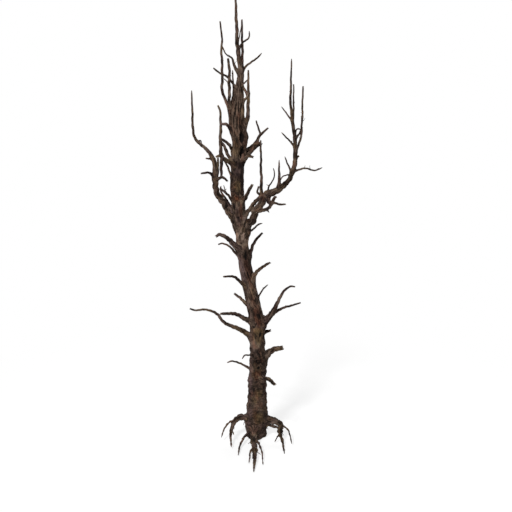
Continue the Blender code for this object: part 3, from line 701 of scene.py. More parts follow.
# How wide and long the bark's features are: the foot's plates and chips, the ridges between the
# furrows, the scales, and the crown's fibres.
PLATE = (0.105, 0.075)
CHIP = (0.045, 0.030)
FURROW = (0.060, 0.36)
RIDGE = (0.030, 0.14)
SCALE = (0.026, 0.040)
STRAND = (0.060, 0.70)
THREAD = (0.024, 0.30)
LOBE = (0.13, 1.1)
STRANDS = 13  # round the trunk in the crown
SKIRT = 6.60  # the height where the crown's strands end over the bare trunk
SKIRT_MIDDLE = (-0.43, 0.04)  # of the trunk there
SKIRT_REACH = (0.20, 0.30)  # from that middle, where it fades on the limbs
SKIRT_STEP = 0.030  # how far the strands' ends stand out
SKIRT_FADE = 0.35  # and the height over which that is lost again
SKIRT_SHADE = 0.24  # how far down the neck their shade reaches
PATCH_LONG = 1.4  # how much longer than wide a patch is
SPOT_FULL = 1.5  # a tint's strength in its middle before it is cut to 1, so that it is full there
SPOT_EDGE = 1.3  # how sharply it ends
PIT_EDGE = 1.5  # how sharply a hollow does
RIM = (1.5, 0.18, 0.15)  # a hollow's rim: how far out and how broad in its sizes, how high in its depth
KNOT_TALL = 1.3  # how much taller than wide a knot is
KNOT_PIT = (0.35, 0.45)  # the pit in its middle: how wide and how deep, in its width and height
KNOT_EYE = (0.4, 0.9)  # the dark eye there: how wide and how dark
KNOT_RING = (0.9, 0.1, 0.3)  # the light ring round it: how far out, how broad and how light

# A limb's bark: how wide and long its features are, and its patches: where their noise begins and is
# full, how wide they are, and their seed.
FIBRE = (0.028, 0.24)
CRACK = (0.045, 0.34)
FLAKE = (0.035, 0.07)
LIMB_LUMP = (0.11, 0.22)
ROOT_LUMP = (0.07, 0.10)
LIMB_PATCHES = {
    "pale": (0.15, 0.75, 0.35, 71),
    "moss": (-0.3, 0.5, 0.22, 73),
    "rust": (0.1, 0.6, 0.20, 75),
    "cool": (0.0, 0.6, 0.25, 77),
}


def stretched(grain, wide, long):
    """Grain places for noise whose features are this wide and this long."""
    return grain / np.array([wide, wide, long])


def skirt(shaft, ragged=0):
    """(the painted shade on a limb under the crown's strands, the painted highlight at their ends)."""
    places = shaft.place(0)
    away = np.linalg.norm(places[..., :2] - np.array(SKIRT_MIDDLE), axis=-1)
    above = places[..., 2] - SKIRT - ragged - 0.04 * noise(places / 0.05, 49)
    near = 1 - smooth(*SKIRT_REACH, away)
    shade = smooth(0.01, -0.02, above) * smooth(-SKIRT_SHADE, -SKIRT_SHADE / 4, above) * near
    strand_highlight = smooth(0.0, 0.02, above) * np.exp(-np.clip(above, 0, None) / 0.06) * near
    return shade, strand_highlight * 0.7


def limb_bark(shaft):
    """(how far the bark stands out at each point, its looks by name) for a limb."""
    grain, seed = shaft.grain, shaft.seed
    girth = 2 * shaft.bare.mean(axis=1)[:, None]
    root = shaft.kind == "roots"
    thick = smooth(0.02, 0.10, girth)
    fibre = ridged(stretched(grain, *FIBRE), seed + 3)
    cracks = smooth(0.66, 0.95, ridged(stretched(grain, *CRACK), seed + 9, 1))
    flakes = plates(stretched(grain, *FLAKE), seed)[0]
    # Painted shade under the crown's strands, and a painted highlight at their ends.
    shade, strand_highlight = skirt(shaft)
    out = layered(stretched(grain, *LIMB_LUMP), seed) * girth * 0.04
    out = out + ((fibre - 0.55) * 0.0065 + (flakes - 0.5) * 0.003 - cracks * 0.005) * thick
    if root:
        out = out + layered(stretched(grain, *ROOT_LUMP), seed + 4) * girth * 0.09
    # What each limb has of its own, from 0 to 1: how mossy, rusty, purplish and light it is.
    mossy, rusty, purplish, light = (math.modf(seed * share)[0] for share in (0.618, 0.414, 0.732, 0.236))
    patch = {
        key: smooth(low, high, layered(grain / wide, number))
        for key, (low, high, wide, number) in LIMB_PATCHES.items()
    }
    dark = smooth(0.15, 0.65, layered(stretched(grain, 0.10, 0.22), 79))
    # Darker in the cracks and between the fibres, partly the bark's own colour and partly painted shade.
    relief = (fibre - 0.5) * 0.9 + (flakes - 0.5) * 0.4 - cracks * 0.9
    return out, {
        "relief": relief + (light - 0.5) * 0.35 + strand_highlight,
        "pale": patch["pale"] * (0.3 if root else 0.35),
        "moss": patch["moss"] * (0.7 if root else 0.2 + 0.6 * mossy),
        "rust": patch["rust"] * (0.25 + 0.4 * rusty),
        "cool": patch["cool"] * 0.5 + smooth(0.55, 0.9, purplish) * 0.5,
        # Dark patches of the bark, and the painted shade under the crown's strands.
        "dark": np.maximum(dark * 0.5, shade),
        "hollow": 0 * relief,
        "scaly": 0.25 + 0 * relief,
    }


def trunk_bark(shaft):
    """(how far the bark stands out at each point, its looks by name) for the trunk."""
    grain, height = shaft.grain, shaft.height
    angle = shaft.angles[None] + 0 * height
    bends = [noise(grain / size, seed) for size, seed in ((0.12, 41), (0.12, 42), (0.2, 43))]
    bent = grain + np.stack(bends, -1) * np.array([0.012, 0.012, 0.03])
    zone = {
        name: smooth(begins, full, height) * smooth(gone, going, height)
        for name, (begins, full, going, gone) in ZONES.items()
    }
    # The foot: plates, shingled, their lower edges standing out.
    plate, border, lift = plates(stretched(bent, *PLATE), 11)
    chip, _, chip_lift = plates(stretched(bent, *CHIP), 17)
    crack = 1 - smooth(0.0, 0.16, border)
    shingle = (plate - 0.45) * 0.010 - lift * 0.009 - crack * 0.004
    shingle = shingle + (chip - 0.5) * 0.004 - chip_lift * 0.003
    # The middle: shallow furrows between long flat ridges.
    furrow = smooth(0.78, 0.99, ridged(stretched(bent, *FURROW), 21, 1))
    flat = layered(stretched(bent, *RIDGE), 23)
    bars = -furrow * 0.008 + flat * 0.003 + (chip - 0.5) * 0.003
    # The neck under the crown: fine scales, then nearly bare.
    scale, border, _ = plates(stretched(bent, *SCALE), 25)
    crust = smooth(0.05, 0.30, border)
    thin = layered(stretched(grain, 0.05, 0.2), 29)
    # Above: fibres, and a bundle of strands with deep grooves between them.
    strand = ridged(stretched(bent, *STRAND), 31, 1)
    thread = ridged(stretched(bent, *THREAD), 33)
    round_trunk = np.stack([np.cos(angle) * 1.5, np.sin(angle) * 1.5, height * 2.2], -1)
    wander = noise(round_trunk, 45) * 0.35
    arc = np.abs(np.sin((angle * STRANDS + height * 0.6) / 2 + wander * STRANDS / 2))
    groove = smooth(0.45, 0.0, arc) * zone["bundle"]
    fibres = (strand - 0.5) * 0.014 + (thread - 0.55) * 0.007
    fibres = fibres + (arc - 0.75) * 0.020 * zone["bundle"] - groove * 0.018
    out = (
        zone["foot"] * shingle
        + zone["furrowed"] * bars
        + zone["scaled"] * (crust * 0.005 + (scale - 0.5) * 0.003)
        + zone["bare"] * thin * 0.003
        + zone["crown"] * fibres
        + layered(stretched(grain, 0.22, 0.40), 35) * 0.006
        + (ridged(stretched(grain, *LOBE), 37, 1) - 0.55) * 0.016 * smooth(1.6, 2.6, height)
    )
    # Its tone: darker in the furrows, cracks and grooves, partly the bark's own colour there and partly
    # painted shade.
    tone = (
        zone["foot"] * ((plate - 0.5) * 0.6 - lift * 0.4 - crack * 0.25 + (chip - 0.5) * 0.30)
        + zone["furrowed"] * (0.1 - furrow + flat * 0.45 + (chip - 0.5) * 0.4)
        + zone["scaled"] * ((crust - 0.6) * 0.9 + (scale - 0.5) * 0.9)
        + zone["bare"] * (thin * 0.4 - 0.35)
        + zone["crown"] * ((thread - 0.5) * 1.1 + (strand - 0.5) * 0.7)
        - groove * 1.5
    )
    # The strands' lower ends, ragged over the neck.
    ragged = 0.05 * noise(round_trunk * 1.6, 47) + 0.03 * noise(round_trunk * 6, 48)
    above = height - SKIRT - ragged
    fading = np.exp(-np.clip(above, 0, None) / SKIRT_FADE)
    out = out + smooth(-0.02, 0.015, above) * fading * SKIRT_STEP
    # Painted shade under the strands' ends, and a painted highlight on the ends themselves.
    shade, strand_highlight = skirt(shaft, ragged)
    out, tone, hollow = pocked(shaft, out, tone + strand_highlight)
    look = {"relief": tone, "hollow": hollow, "scaly": zone["foot"] + 0.6 * zone["scaled"], **tints(shaft)}
    look["dark"] = np.maximum(look["dark"], shade)
    return out * smooth(-0.02, 0.10, height), look


def away_from(shaft, middle, bearing, wide, tall):
    """How far each point of the trunk is from a spot on it, squared and in the spot's own sizes."""
    side = turned_from(math.radians(bearing), shaft.angles[None] + 0 * shaft.height) * shaft.bare
    return (side / wide) ** 2 + ((shaft.height - middle) / tall) ** 2


def pocked(shaft, out, tone):
    """The trunk's bark with hollows and knots: (how far it stands out, its tone, how hollow it is, which
    sets the painted shade inside the hollows).
    """
    uneven = 1 + 0.5 * noise(stretched(shaft.grain, 0.035, 0.07), 93)
    hollow = 0 * shaft.height
    for middle, bearing, depth, wide, tall in HOLLOWS:
        away = away_from(shaft, middle, bearing, wide, tall) * uneven
        pit = np.exp(-(away**PIT_EDGE))
        rim = np.exp(-((np.sqrt(away) - RIM[0]) ** 2) / RIM[1])
        out = out - pit * depth + rim * depth * RIM[2]
        hollow = np.maximum(hollow, pit)
    for middle, bearing, stand, wide in KNOTS:
        away = np.sqrt(away_from(shaft, middle, bearing, wide, wide * KNOT_TALL))
        out = out + (hill(away) - hill(away / KNOT_PIT[0]) * KNOT_PIT[1]) * stand
        ring = np.exp(-((away - KNOT_RING[0]) ** 2) / KNOT_RING[1])
        tone = tone - hill(away / KNOT_EYE[0]) * KNOT_EYE[1] + ring * KNOT_RING[2]
    return out, tone, hollow


def tints(shaft):
    """How strong each tint is on the trunk, by its name. Some of them paint light and shade."""
    blot = 0.6 + 0.4 * smooth(-0.6, 0.2, layered(stretched(shaft.grain, 0.10, 0.16), 87))
    strength = {}
    for key, (size, seed, most) in PATCHES.items():
        patch = layered(stretched(shaft.grain, size, size * PATCH_LONG), seed)
        strength[key] = smooth(0.05, 0.65, patch) * most
        for middle, bearing, strong, wide, tall in TINTS[key]:
            spot = SPOT_FULL * np.exp(-(away_from(shaft, middle, bearing, wide, tall) ** SPOT_EDGE))
            strength[key] = np.maximum(strength[key], np.minimum(1, spot) * strong * blot)
    return strength


# ---------------------------------------------------------------- joints

WEB = 1.1  # a fillet's radius, in radii of the limb that leaves
WEB_ROOT = 0.45  # for a root
WEB_MEETS = 0.22  # where a limb only meets another
WEB_MOST = 0.6  # and at most, in radii of what carries it
WEB_ROUNDS = 5
WEB_SAMPLES = 60  # of the other's middles, that tell which rings come near it
FOOT_RING = 4  # the ring whose radius is a limb's foot's
AIM_RING = 8  # the ring that shows which way a limb sets off
TRAIL = 9  # how long the ridge below a limb is, in its girths
TRAIL_OUT = 0.13  # how far it stands out
TRAIL_WIDE = 0.65
TRAIL_TURN = 0.35  # of the grain's twist, that it follows


def fillet(gap, size):
    """How far a surface stands out at a gap from its neighbour's, under a fillet of that size."""
    middle = size * (1 - math.sqrt(0.5))
    arc = size - np.sqrt(np.clip(size**2 - (size - np.clip(gap, middle, size)) ** 2, 0, None))
    inside = np.clip(middle - gap, 0, middle)
    return (arc + inside) * smooth(-0.7 * size, 0, gap)


def web(shaft, other, size):
    """Swells a tube toward another that it meets."""
    low = other.middles.min(axis=0) - other.radii.max() - size
    high = other.middles.max(axis=0) + other.radii.max() + size
    base = shaft.place(0)
    rings = np.flatnonzero(((base > low) & (base < high)).all(axis=-1).any(axis=1))
    coarse = other.middles[:: max(1, len(other.middles) // WEB_SAMPLES)]
    spacing = np.linalg.norm(coarse[1] - coarse[0]) if len(coarse) > 1 else 0
    reach = np.linalg.norm(shaft.middles[rings, None] - coarse[None], axis=-1).min(axis=1)
    limit = shaft.bare[rings].max(axis=1) + other.radii.max() * 1.3 + size + spacing
    rings = rings[reach < limit]
    start = base[rings].reshape(-1, 3)
    live = other.clearance(start) < size
    if not live.any():
        return
    start, outward = start[live], shaft.outward[rings].reshape(-1, 3)[live]
    swell = np.zeros(len(start))
    for _ in range(WEB_ROUNDS):
        swell = (swell + fillet(other.clearance(start + outward * swell[:, None]), size)) / 2
    out = np.zeros(len(live))
    out[live] = swell
    shaft.web[rings] = np.maximum(shaft.web[rings], out.reshape(len(rings), -1))


def trail(shaft, child):
    """The ridge that a limb's strands raise down its carrier."""
    start = child.middles[0]
    ring = shaft.nearest_ring(start)
    way = child.middles[min(AIM_RING, len(child.middles) - 1)] - start
    bearing = math.atan2(way @ shaft.upright[ring], way @ shaft.across[ring])
    girth = 2 * child.radii[-len(child.radii) // 2]
    sense = 1 if way @ shaft.ahead[ring] >= 0 else -1
    down = (shaft.run[ring] - shaft.run) * sense
    rings = np.flatnonzero((down > -girth) & (down < 3 * TRAIL * girth))
    down = down[rings]
    fade = np.exp(-np.clip(down, 0, None) / (TRAIL * girth)) * smooth(-girth, 0, down)
    twist = bearing - TRAIL_TURN * GRAIN_TWIST * down * sense
    side = turned_from(twist[:, None], shaft.angles[None]) * shaft.bare[rings]
    ridge = hill(side / (TRAIL_WIDE * girth)) * fade[:, None] * TRAIL_OUT * girth
    shaft.relief[rings] += ridge - ridge.mean(axis=1)[:, None]


# ---------------------------------------------------------------- from paths to tubes

# Finer than the solids, by kind: how far apart, how long, how thick at the foot and the tip, the
# climb, and how many of them turn to the front or back rather than to the sides.
FINER = {
    "twigs": (0.13, (0.05, 0.17), (0.013, 0.006), (10, 75), 0.8),
    "shoots": (0.30, (0.02, 0.07), (0.020, 0.011), (-10, 70), 0.7),
    "boughs": (0.36, (0.02, 0.09), (0.024, 0.012), (-20, 70), 0.7),
    "branches": (0.26, (0.02, 0.06), (0.020, 0.010), (-20, 70), 0.7),
    "roots": (0.13, (0.12, 0.26), (0.022, 0.009), (-70, -20), 0.3),
}
SPUR_START = (0.15, 0.3)  # the share of a limb before the first of them
SPUR_END = 0.95  # and before the last
ROOTLET_END = 0.6  # and before a root's last
SPUR_APART = (0.6, 1.6)  # from one to the next, in what its kind says
SPUR_SHRINK = 0.5  # how much shorter they are at the end of a limb
SPUR_TURN = 50  # how far they turn from straight to the front, the back or a side
SPUR_RUNS = (0.55, 0.45)  # their two runs
SPUR_SHARE = 1.2  # the most that a spur's girth takes of a limb's radius
SPUR_LEAST = 0.7  # of its full girth, for a spur to stand on a limb
ROOTLET_LEAST = 0.03  # the radius of a root that carries rootlets


def finer(name, kind, path):
    """Short broken twigs along a limb, as rows for the tables."""
    if kind not in FINER:
        return []
    apart, lengths, girth, climbs, deep = FINER[kind]
    last = ROOTLET_END if kind == "roots" else SPUR_END
    draw = random.Random("finer " + name)
    rows = []
    whole = path[-1][2]
    way = whole * draw.uniform(*SPUR_START)
    while way < whole * last:
        length = draw.uniform(*lengths) * (1 - SPUR_SHRINK * way / whole)
        bearing = draw.choice((90, 270)) + draw.uniform(-SPUR_TURN, SPUR_TURN)
        if draw.random() > deep:
            bearing += 90
        radius = along(path, way)[1]
        size = min(1, SPUR_SHARE * radius / girth[0])
        runs = tuple((length * share, draw.uniform(*climbs)) for share in SPUR_RUNS)
        if size > SPUR_LEAST and (kind != "roots" or radius > ROOTLET_LEAST):
            rows.append(twig(way, bearing, tuple(width * size for width in girth), runs))
        way += apart * draw.uniform(*SPUR_APART)
    return rows


def grow():
    """Every shaft by name, and what meets: (name, what it meets, whether it leaves that)."""
    paths = {"trunk": trunk_path()}
    shafts = {"trunk": Shaft("trunk", "trunk", paths["trunk"], (0, 0, 1))}
    meetings, spurs = [], []
    for name, spec in LIMBS.items():
        paths[name] = limb_path(name, spec, paths[spec.on])
    # Limbs that go on from one another's tips are one shaft.
    runs_on = {spec.on: name for name, spec in LIMBS.items() if spec.at == ON_TIP}
    inside = {}

    def whole(name):
        return inside.get(name, name)

    for kind, limbs in KINDS.items():
        for name, spec in limbs.items():
            if spec.at == ON_TIP and spec.on != "trunk":
                continue
            path = paths[name]
            last = name
            while last in runs_on:
                last = runs_on[last]
                inside[last] = name
                path = path + [row for row in paths[last] if (row[0] - paths[last][0][0]).length > 0]
            first = None
            if spec.at == ON_TIP:
                first = end_of(paths[spec.on])
                path = tip_lead(paths[spec.on], spec.girth[0]) + path[1:]
            shafts[name] = Shaft(name, kind, path, first)
    for kind, limbs in KINDS.items():
        for name, spec in limbs.items():
            if name not in inside:
                meetings.append((name, whole(spec.on), True))
            meetings += [(whole(name), whole(other), False) for other in spec.meets]
            for number, side in enumerate(spec.twigs):
                part = f"{name}_{number}"
                carrier = side.on or name
                paths[part] = limb_path(part, side, paths[carrier])
                shafts[part] = Shaft(part, kind, paths[part])
                meetings.append((part, whole(carrier), True))
                if carrier != name:
                    meetings.append((part, whole(name), False))
    for part, path in paths.items():
        kind = shafts[whole(part)].kind
        for number, side in enumerate(finer(part, kind, path)):
            spur = f"{part}_spur_{number}"
            shafts[spur] = Shaft(spur, kind, limb_path(spur, side, path))
            spurs.append((spur, whole(part)))
    return shafts, meetings, spurs


def join(shafts, meetings, spurs):
    """Flares the shafts into one another where they meet, and raises ridges below the limbs."""
    for name, carrier, leaves in meetings:
        child, other = shafts[name], shafts[carrier]
        foot = child.radii[min(FOOT_RING, len(child.radii) - 1)]
        share = WEB_MEETS if not leaves else WEB_ROOT if child.kind == "roots" else WEB
        size = min(share * foot, WEB_MOST * other.radii[other.nearest_ring(child.middles[0])])
        web(child, other, size)
        web(other, child, size)
        if leaves and child.kind != "roots":
            trail(other, child)
    for name, carrier in spurs:
        web(shafts[name], shafts[carrier], shafts[name].radii[0])


# ---------------------------------------------------------------- meshes

LOOKS = ("grain", "relief", "scaly", "pale", "moss", "rust", "cool", "dark", "hollow")
THICK_TIP = 0.032  # a girth from which a limb ends in a ragged break
BREAK = 0.55  # how deep a break is, in girths
JAGGED = (0.35, 0.9, 0.5)  # of that: its rim's height, its jags and its splinters
SUNK = ((0.72, 0.25), (0.35, 0.40))  # the rings inside a break: their size, and how deep in girths
SUNK_MIDDLE = 0.40  # and how deep its middle is
ROUNDED = (0.55, 0.35)  # the ring that closes any other tip: its size, and how far out in girths
ROUNDED_MIDDLE = 0.5  # and how far out its middle is
# How much a limb narrows toward its tip, and over how many girths.
NARROW_BREAK = (0.12, 1.2)
NARROW_ROOT = (0.5, 2)
NARROW_TIP = (0.35, 2)
# A fillet smooths away the most of the relief, this much, between these heights of its own.
WEB_SMOOTHS = 0.65
WEB_HEIGHTS = (0.01, 0.06)
LEAST_RADIUS = 0.002
MAP_GAP = 0.0012  # between the strips of a piece's map, in its widths
MAP_SHRINK = 0.97  # from one try at fitting the strips to the next


def is_broken(shaft):
    return 2 * shaft.radii[-1] >= THICK_TIP and shaft.kind != "roots"


def narrowing(shaft):
    """A factor on the radius of each ring toward a limb's tip."""
    girth = 2 * shaft.radii[-1]
    left = shaft.run[-1] - shaft.run
    whole = NARROW_ROOT if shaft.kind == "roots" else NARROW_TIP
    share, girths = NARROW_BREAK if is_broken(shaft) else whole
    return 1 - share * smooth(girths * girth, 0, left)


def closed_tip(shaft, cloud):
    """(the rings that close a tube's last ring, the middle of its tip). A break makes that ragged."""
    girth = 2 * shaft.radii[-1]
    ahead = shaft.ahead[-1]
    middle = cloud[-1].mean(axis=0)
    if not is_broken(shaft):
        share, out = ROUNDED
        ring = middle + (cloud[-1] - middle) * share + ahead * girth * out
        return [ring], middle + ahead * girth * ROUNDED_MIDDLE
    x, y, flat = np.cos(shaft.angles), np.sin(shaft.angles), 0 * shaft.angles + shaft.seed
    jags = noise(np.stack([x * 2.4, y * 2.4, flat], -1), 3)
    splinters = noise(np.stack([x * 6, y * 6, flat], -1), 4)
    rim, jag, splinter = JAGGED
    lengths = ((rim + jag * jags + splinter * splinters) * girth * BREAK)[:, None]
    cloud[-1] += ahead * lengths
    if len(cloud) > 3:
        cloud[-2] += ahead * (lengths * 0.3)
    rings = [
        middle + (cloud[-1] - middle) * share + ahead * (lengths * share - sink * girth)
        for share, sink in SUNK
    ]
    return rings, middle - ahead * SUNK_MIDDLE * girth


def look_at_tip(shaft, key, last):
    """A look on the rings that close a tip, from the last ring's."""
    if key == "grain":
        return last - np.array([0, 0, 0.01])
    if key == "pale" and is_broken(shaft):
        return 0 * last + 0.9
    return last * 0.3 if key == "relief" and is_broken(shaft) else last


def shelved(strips, scale):
    """(u, next u, v, height) for each ring-to-ring step of each strip on shelves across a unit
    square, or None where they don't fit. A strip that doesn't end on a shelf goes on on the next."""
    u, v, tallest = MAP_GAP, MAP_GAP, 0
    placed = []
    for steps, around in strips:
        rows = []
        for wide in (steps * scale).tolist():
            if u + wide > 1 - MAP_GAP:
                u, v, tallest = MAP_GAP, v + tallest + MAP_GAP, 0
            tallest = max(tallest, around * scale)
            rows.append((u, u + wide, v, around * scale))
            u += wide
        if v + tallest > 1 - MAP_GAP:
            return None
        u += MAP_GAP
        placed.append(np.array(rows))
    return placed


def mapped(clouds):
    """Each tube's corners on one map, unrolled: for each (rings, sides, 3) cloud, its faces' corners."""
    strips = []
    for cloud in clouds:
        middles = cloud.mean(axis=1)
        radius = np.linalg.norm(cloud - middles[:, None], axis=-1).mean(axis=1)
        steps = np.linalg.norm(np.diff(cloud, axis=0), axis=-1).mean(axis=1)
        steps = np.concatenate([radius[:1], steps, radius[-1:]])
        strips.append((steps, 2 * math.pi * float(np.percentile(radius, 70))))
    order = sorted(range(len(strips)), key=lambda index: -strips[index][1])
    scale = 1 / math.sqrt(sum(steps.sum() * around for steps, around in strips))
    placed = None
    while placed is None:
        scale *= MAP_SHRINK
        placed = shelved([strips[index] for index in order], scale)
    placed = dict(zip(order, placed))
    corners = []
    for index, cloud in enumerate(clouds):
        start, after, low, tall = (placed[index][:, None, i] for i in range(4))
        column = np.arange(cloud.shape[1])[None]

        def corner(u, k):
            return np.stack([u + 0 * k, low + tall * (1 - k / cloud.shape[1])], -1)

        a, b = corner(start, column), corner(start, column + 1)
        c, d = corner(after, column), corner(after, column + 1)
        foot, tip = corner(start, column + 0.5), corner(after, column + 0.5)
        sides = slice(1, -1)
        for face, rings in (((a, b, d), sides), ((a, d, c), sides), ((d, c, foot), 0), ((a, b, tip), -1)):
            corners.append(np.stack(face, -2)[rings].reshape(-1, 2))
    return np.concatenate(corners)


def mesh_of(shafts):
    """Points, triangles, looks and map corners of several tubes together."""
    points, faces, clouds, looks = [], [], [], {key: [] for key in LOOKS}
    offset = 0
    for shaft in shafts:
        factor = narrowing(shaft)[:, None]
        flared = 1 - WEB_SMOOTHS * smooth(*WEB_HEIGHTS, shaft.web)
        out = (shaft.bare + shaft.relief * flared) * factor - shaft.bare + shaft.web
        cloud = shaft.place(np.maximum(out, LEAST_RADIUS - shaft.bare))
        closing, tip = closed_tip(shaft, cloud)
        foot = cloud[0].mean(axis=0)
        cloud = np.concatenate([cloud, closing])
        clouds.append(cloud)
        points += [cloud.reshape(-1, 3), [foot, tip]]
        total, sides = cloud.shape[:2]
        for key in LOOKS:
            values = shaft.grain if key == "grain" else shaft.look[key]
            values = np.concatenate([values] + [look_at_tip(shaft, key, values[-1:])] * len(closing))
            values = values.reshape(total * sides, -1)
            looks[key] += [values, values[:1], values[-1:]]
        a = offset + np.arange(total - 1)[:, None] * sides + np.arange(sides)
        b = np.roll(a, -1, axis=1)
        c, d = a + sides, b + sides
        foot, tip = 0 * a[0] + offset + total * sides, 0 * a[0] + offset + total * sides + 1
        for face in ((a, b, d), (a, d, c), (b[0], a[0], foot), (c[-1], d[-1], tip)):
            faces.append(np.stack(face, -1).reshape(-1, 3))
        offset += total * sides + 2
    looks = {key: np.concatenate(values) for key, values in looks.items()}
    return np.concatenate(points), np.concatenate(faces), looks, mapped(clouds)


def piece_of(name, shafts, material):
    """One mesh of several tubes, with their looks as attributes."""
    points, faces, looks, corners = mesh_of(shafts)
    data = bpy.data.meshes.new(name)
    data.from_pydata(points, [], faces)
    data.uv_layers.new(name="OFBake").uv.foreach_set("vector", corners.astype(np.float32).ravel())
    for key, values in looks.items():
        form, field = ("FLOAT_VECTOR", "vector") if key == "grain" else ("FLOAT", "value")
        attribute = data.attributes.new(key, form, "POINT")
        attribute.data.foreach_set(field, values.astype(np.float32).ravel())
    piece = bpy.data.objects.new(name, data)
    bpy.context.scene.collection.objects.link(piece)
    if shafts[0].kind == "roots":
        cut_level(data)
    data.shade_smooth()
    data.materials.append(material)
    return piece


def cut_level(data):
    """Cuts a mesh level with the ground and closes it there."""
    mesh = bmesh.new()
    mesh.from_mesh(data)
    everything = mesh.verts[:] + mesh.edges[:] + mesh.faces[:]
    cut = bmesh.ops.bisect_plane(
        mesh, geom=everything, plane_co=(0, 0, 0), plane_no=(0, 0, 1), clear_inner=True
    )
    edges = [part for part in cut["geom_cut"] if isinstance(part, bmesh.types.BMEdge)]
    bmesh.ops.holes_fill(mesh, edges=edges, sides=0)
    bmesh.ops.triangulate(mesh, faces=[face for face in mesh.faces if len(face.verts) > 3])
    mesh.to_mesh(data)
    mesh.free()


# ---------------------------------------------------------------- materials

# The bark's colours by kind: its furrows, its middle tone and its crests. The furrows' near-black is partly
# the bark's own darker colour and partly painted shade.
PALETTES = {
    "trunk": ((0.0067, 0.0039, 0.0028), (0.0435, 0.0273, 0.0189), (0.122, 0.084, 0.062)),
    "boughs": ((0.0076, 0.0045, 0.0032), (0.044, 0.0285, 0.0206), (0.115, 0.081, 0.0603)),
    "shoots": ((0.0099, 0.0062, 0.0044), (0.0600, 0.0401, 0.0298), (0.142, 0.1025, 0.0780)),
    "branches": ((0.0084, 0.005, 0.0035), (0.047, 0.0302, 0.0217), (0.1134, 0.0793, 0.0588)),
    "roots": ((0.0092, 0.0060, 0.0043), (0.0595, 0.0396, 0.0293), (0.143, 0.101, 0.077)),
    "twigs": ((0.0084, 0.0053, 0.0038), (0.0487, 0.0325, 0.0238), (0.1134, 0.0815, 0.0616)),
}
STOPS = (0.12, 0.50, 0.95)  # the tones that have these colours
# Noise of the grain: how it is drawn out along each axis, its scale, detail and roughness.
GRAINS = {
    "streaks": ((1, 1, 0.14), 95, 6, 0.65),
    "threads": ((1, 1, 0.14), 320, 3, 0.6),
    "specks": ((1, 1, 1), 70, 5, 0.7),
    "patches": ((1, 1, 1), 5.5, 3, 0.55),
    "blotches": ((1, 1, 0.35), 17, 3, 0.5),
    "bands": ((0.55, 0.55, 1.3), 26, 4, 0.6),
}
BUMP = 0.006  # how deep the finest grain is
PALE = (0.215, 0.160, 0.116)  # bleached wood, and on the trunk's left edge painted light
HOLLOW_SHADE = (0.003, 0.0015, 0.001)  # the painted shade inside a hollow
# What each look multiplies the bark's colour by. Cool also carries painted light on the trunk's left edge,
# and dark carries painted shade.
TINTED = {
    "moss": (1.0, 0.93, 0.58),
    "rust": (1.0, 0.60, 0.48),
    "cool": (0.78, 0.71, 0.90),
    "dark": (0.36, 0.30, 0.28),
}


def nodes_of(owner):
    """(the nodes of a material or a world, how to feed one of them, how to add a fed one)."""
    owner.use_nodes = True
    tree = owner.node_tree

    def feed(node, inputs):
        """Sets inputs, by name or number, to values or to other nodes' outputs."""
        for key, value in inputs.items():
            if isinstance(value, bpy.types.NodeSocket):
                tree.links.new(value, node.inputs[key])
            else:
                node.inputs[key].default_value = value

    def add(kind, inputs, output=0, **settings):
        node = tree.nodes.new(f"ShaderNode{kind}")
        for key, value in settings.items():
            setattr(node, key, value)
        feed(node, inputs)
        return node.outputs[output]

    return tree.nodes, feed, add


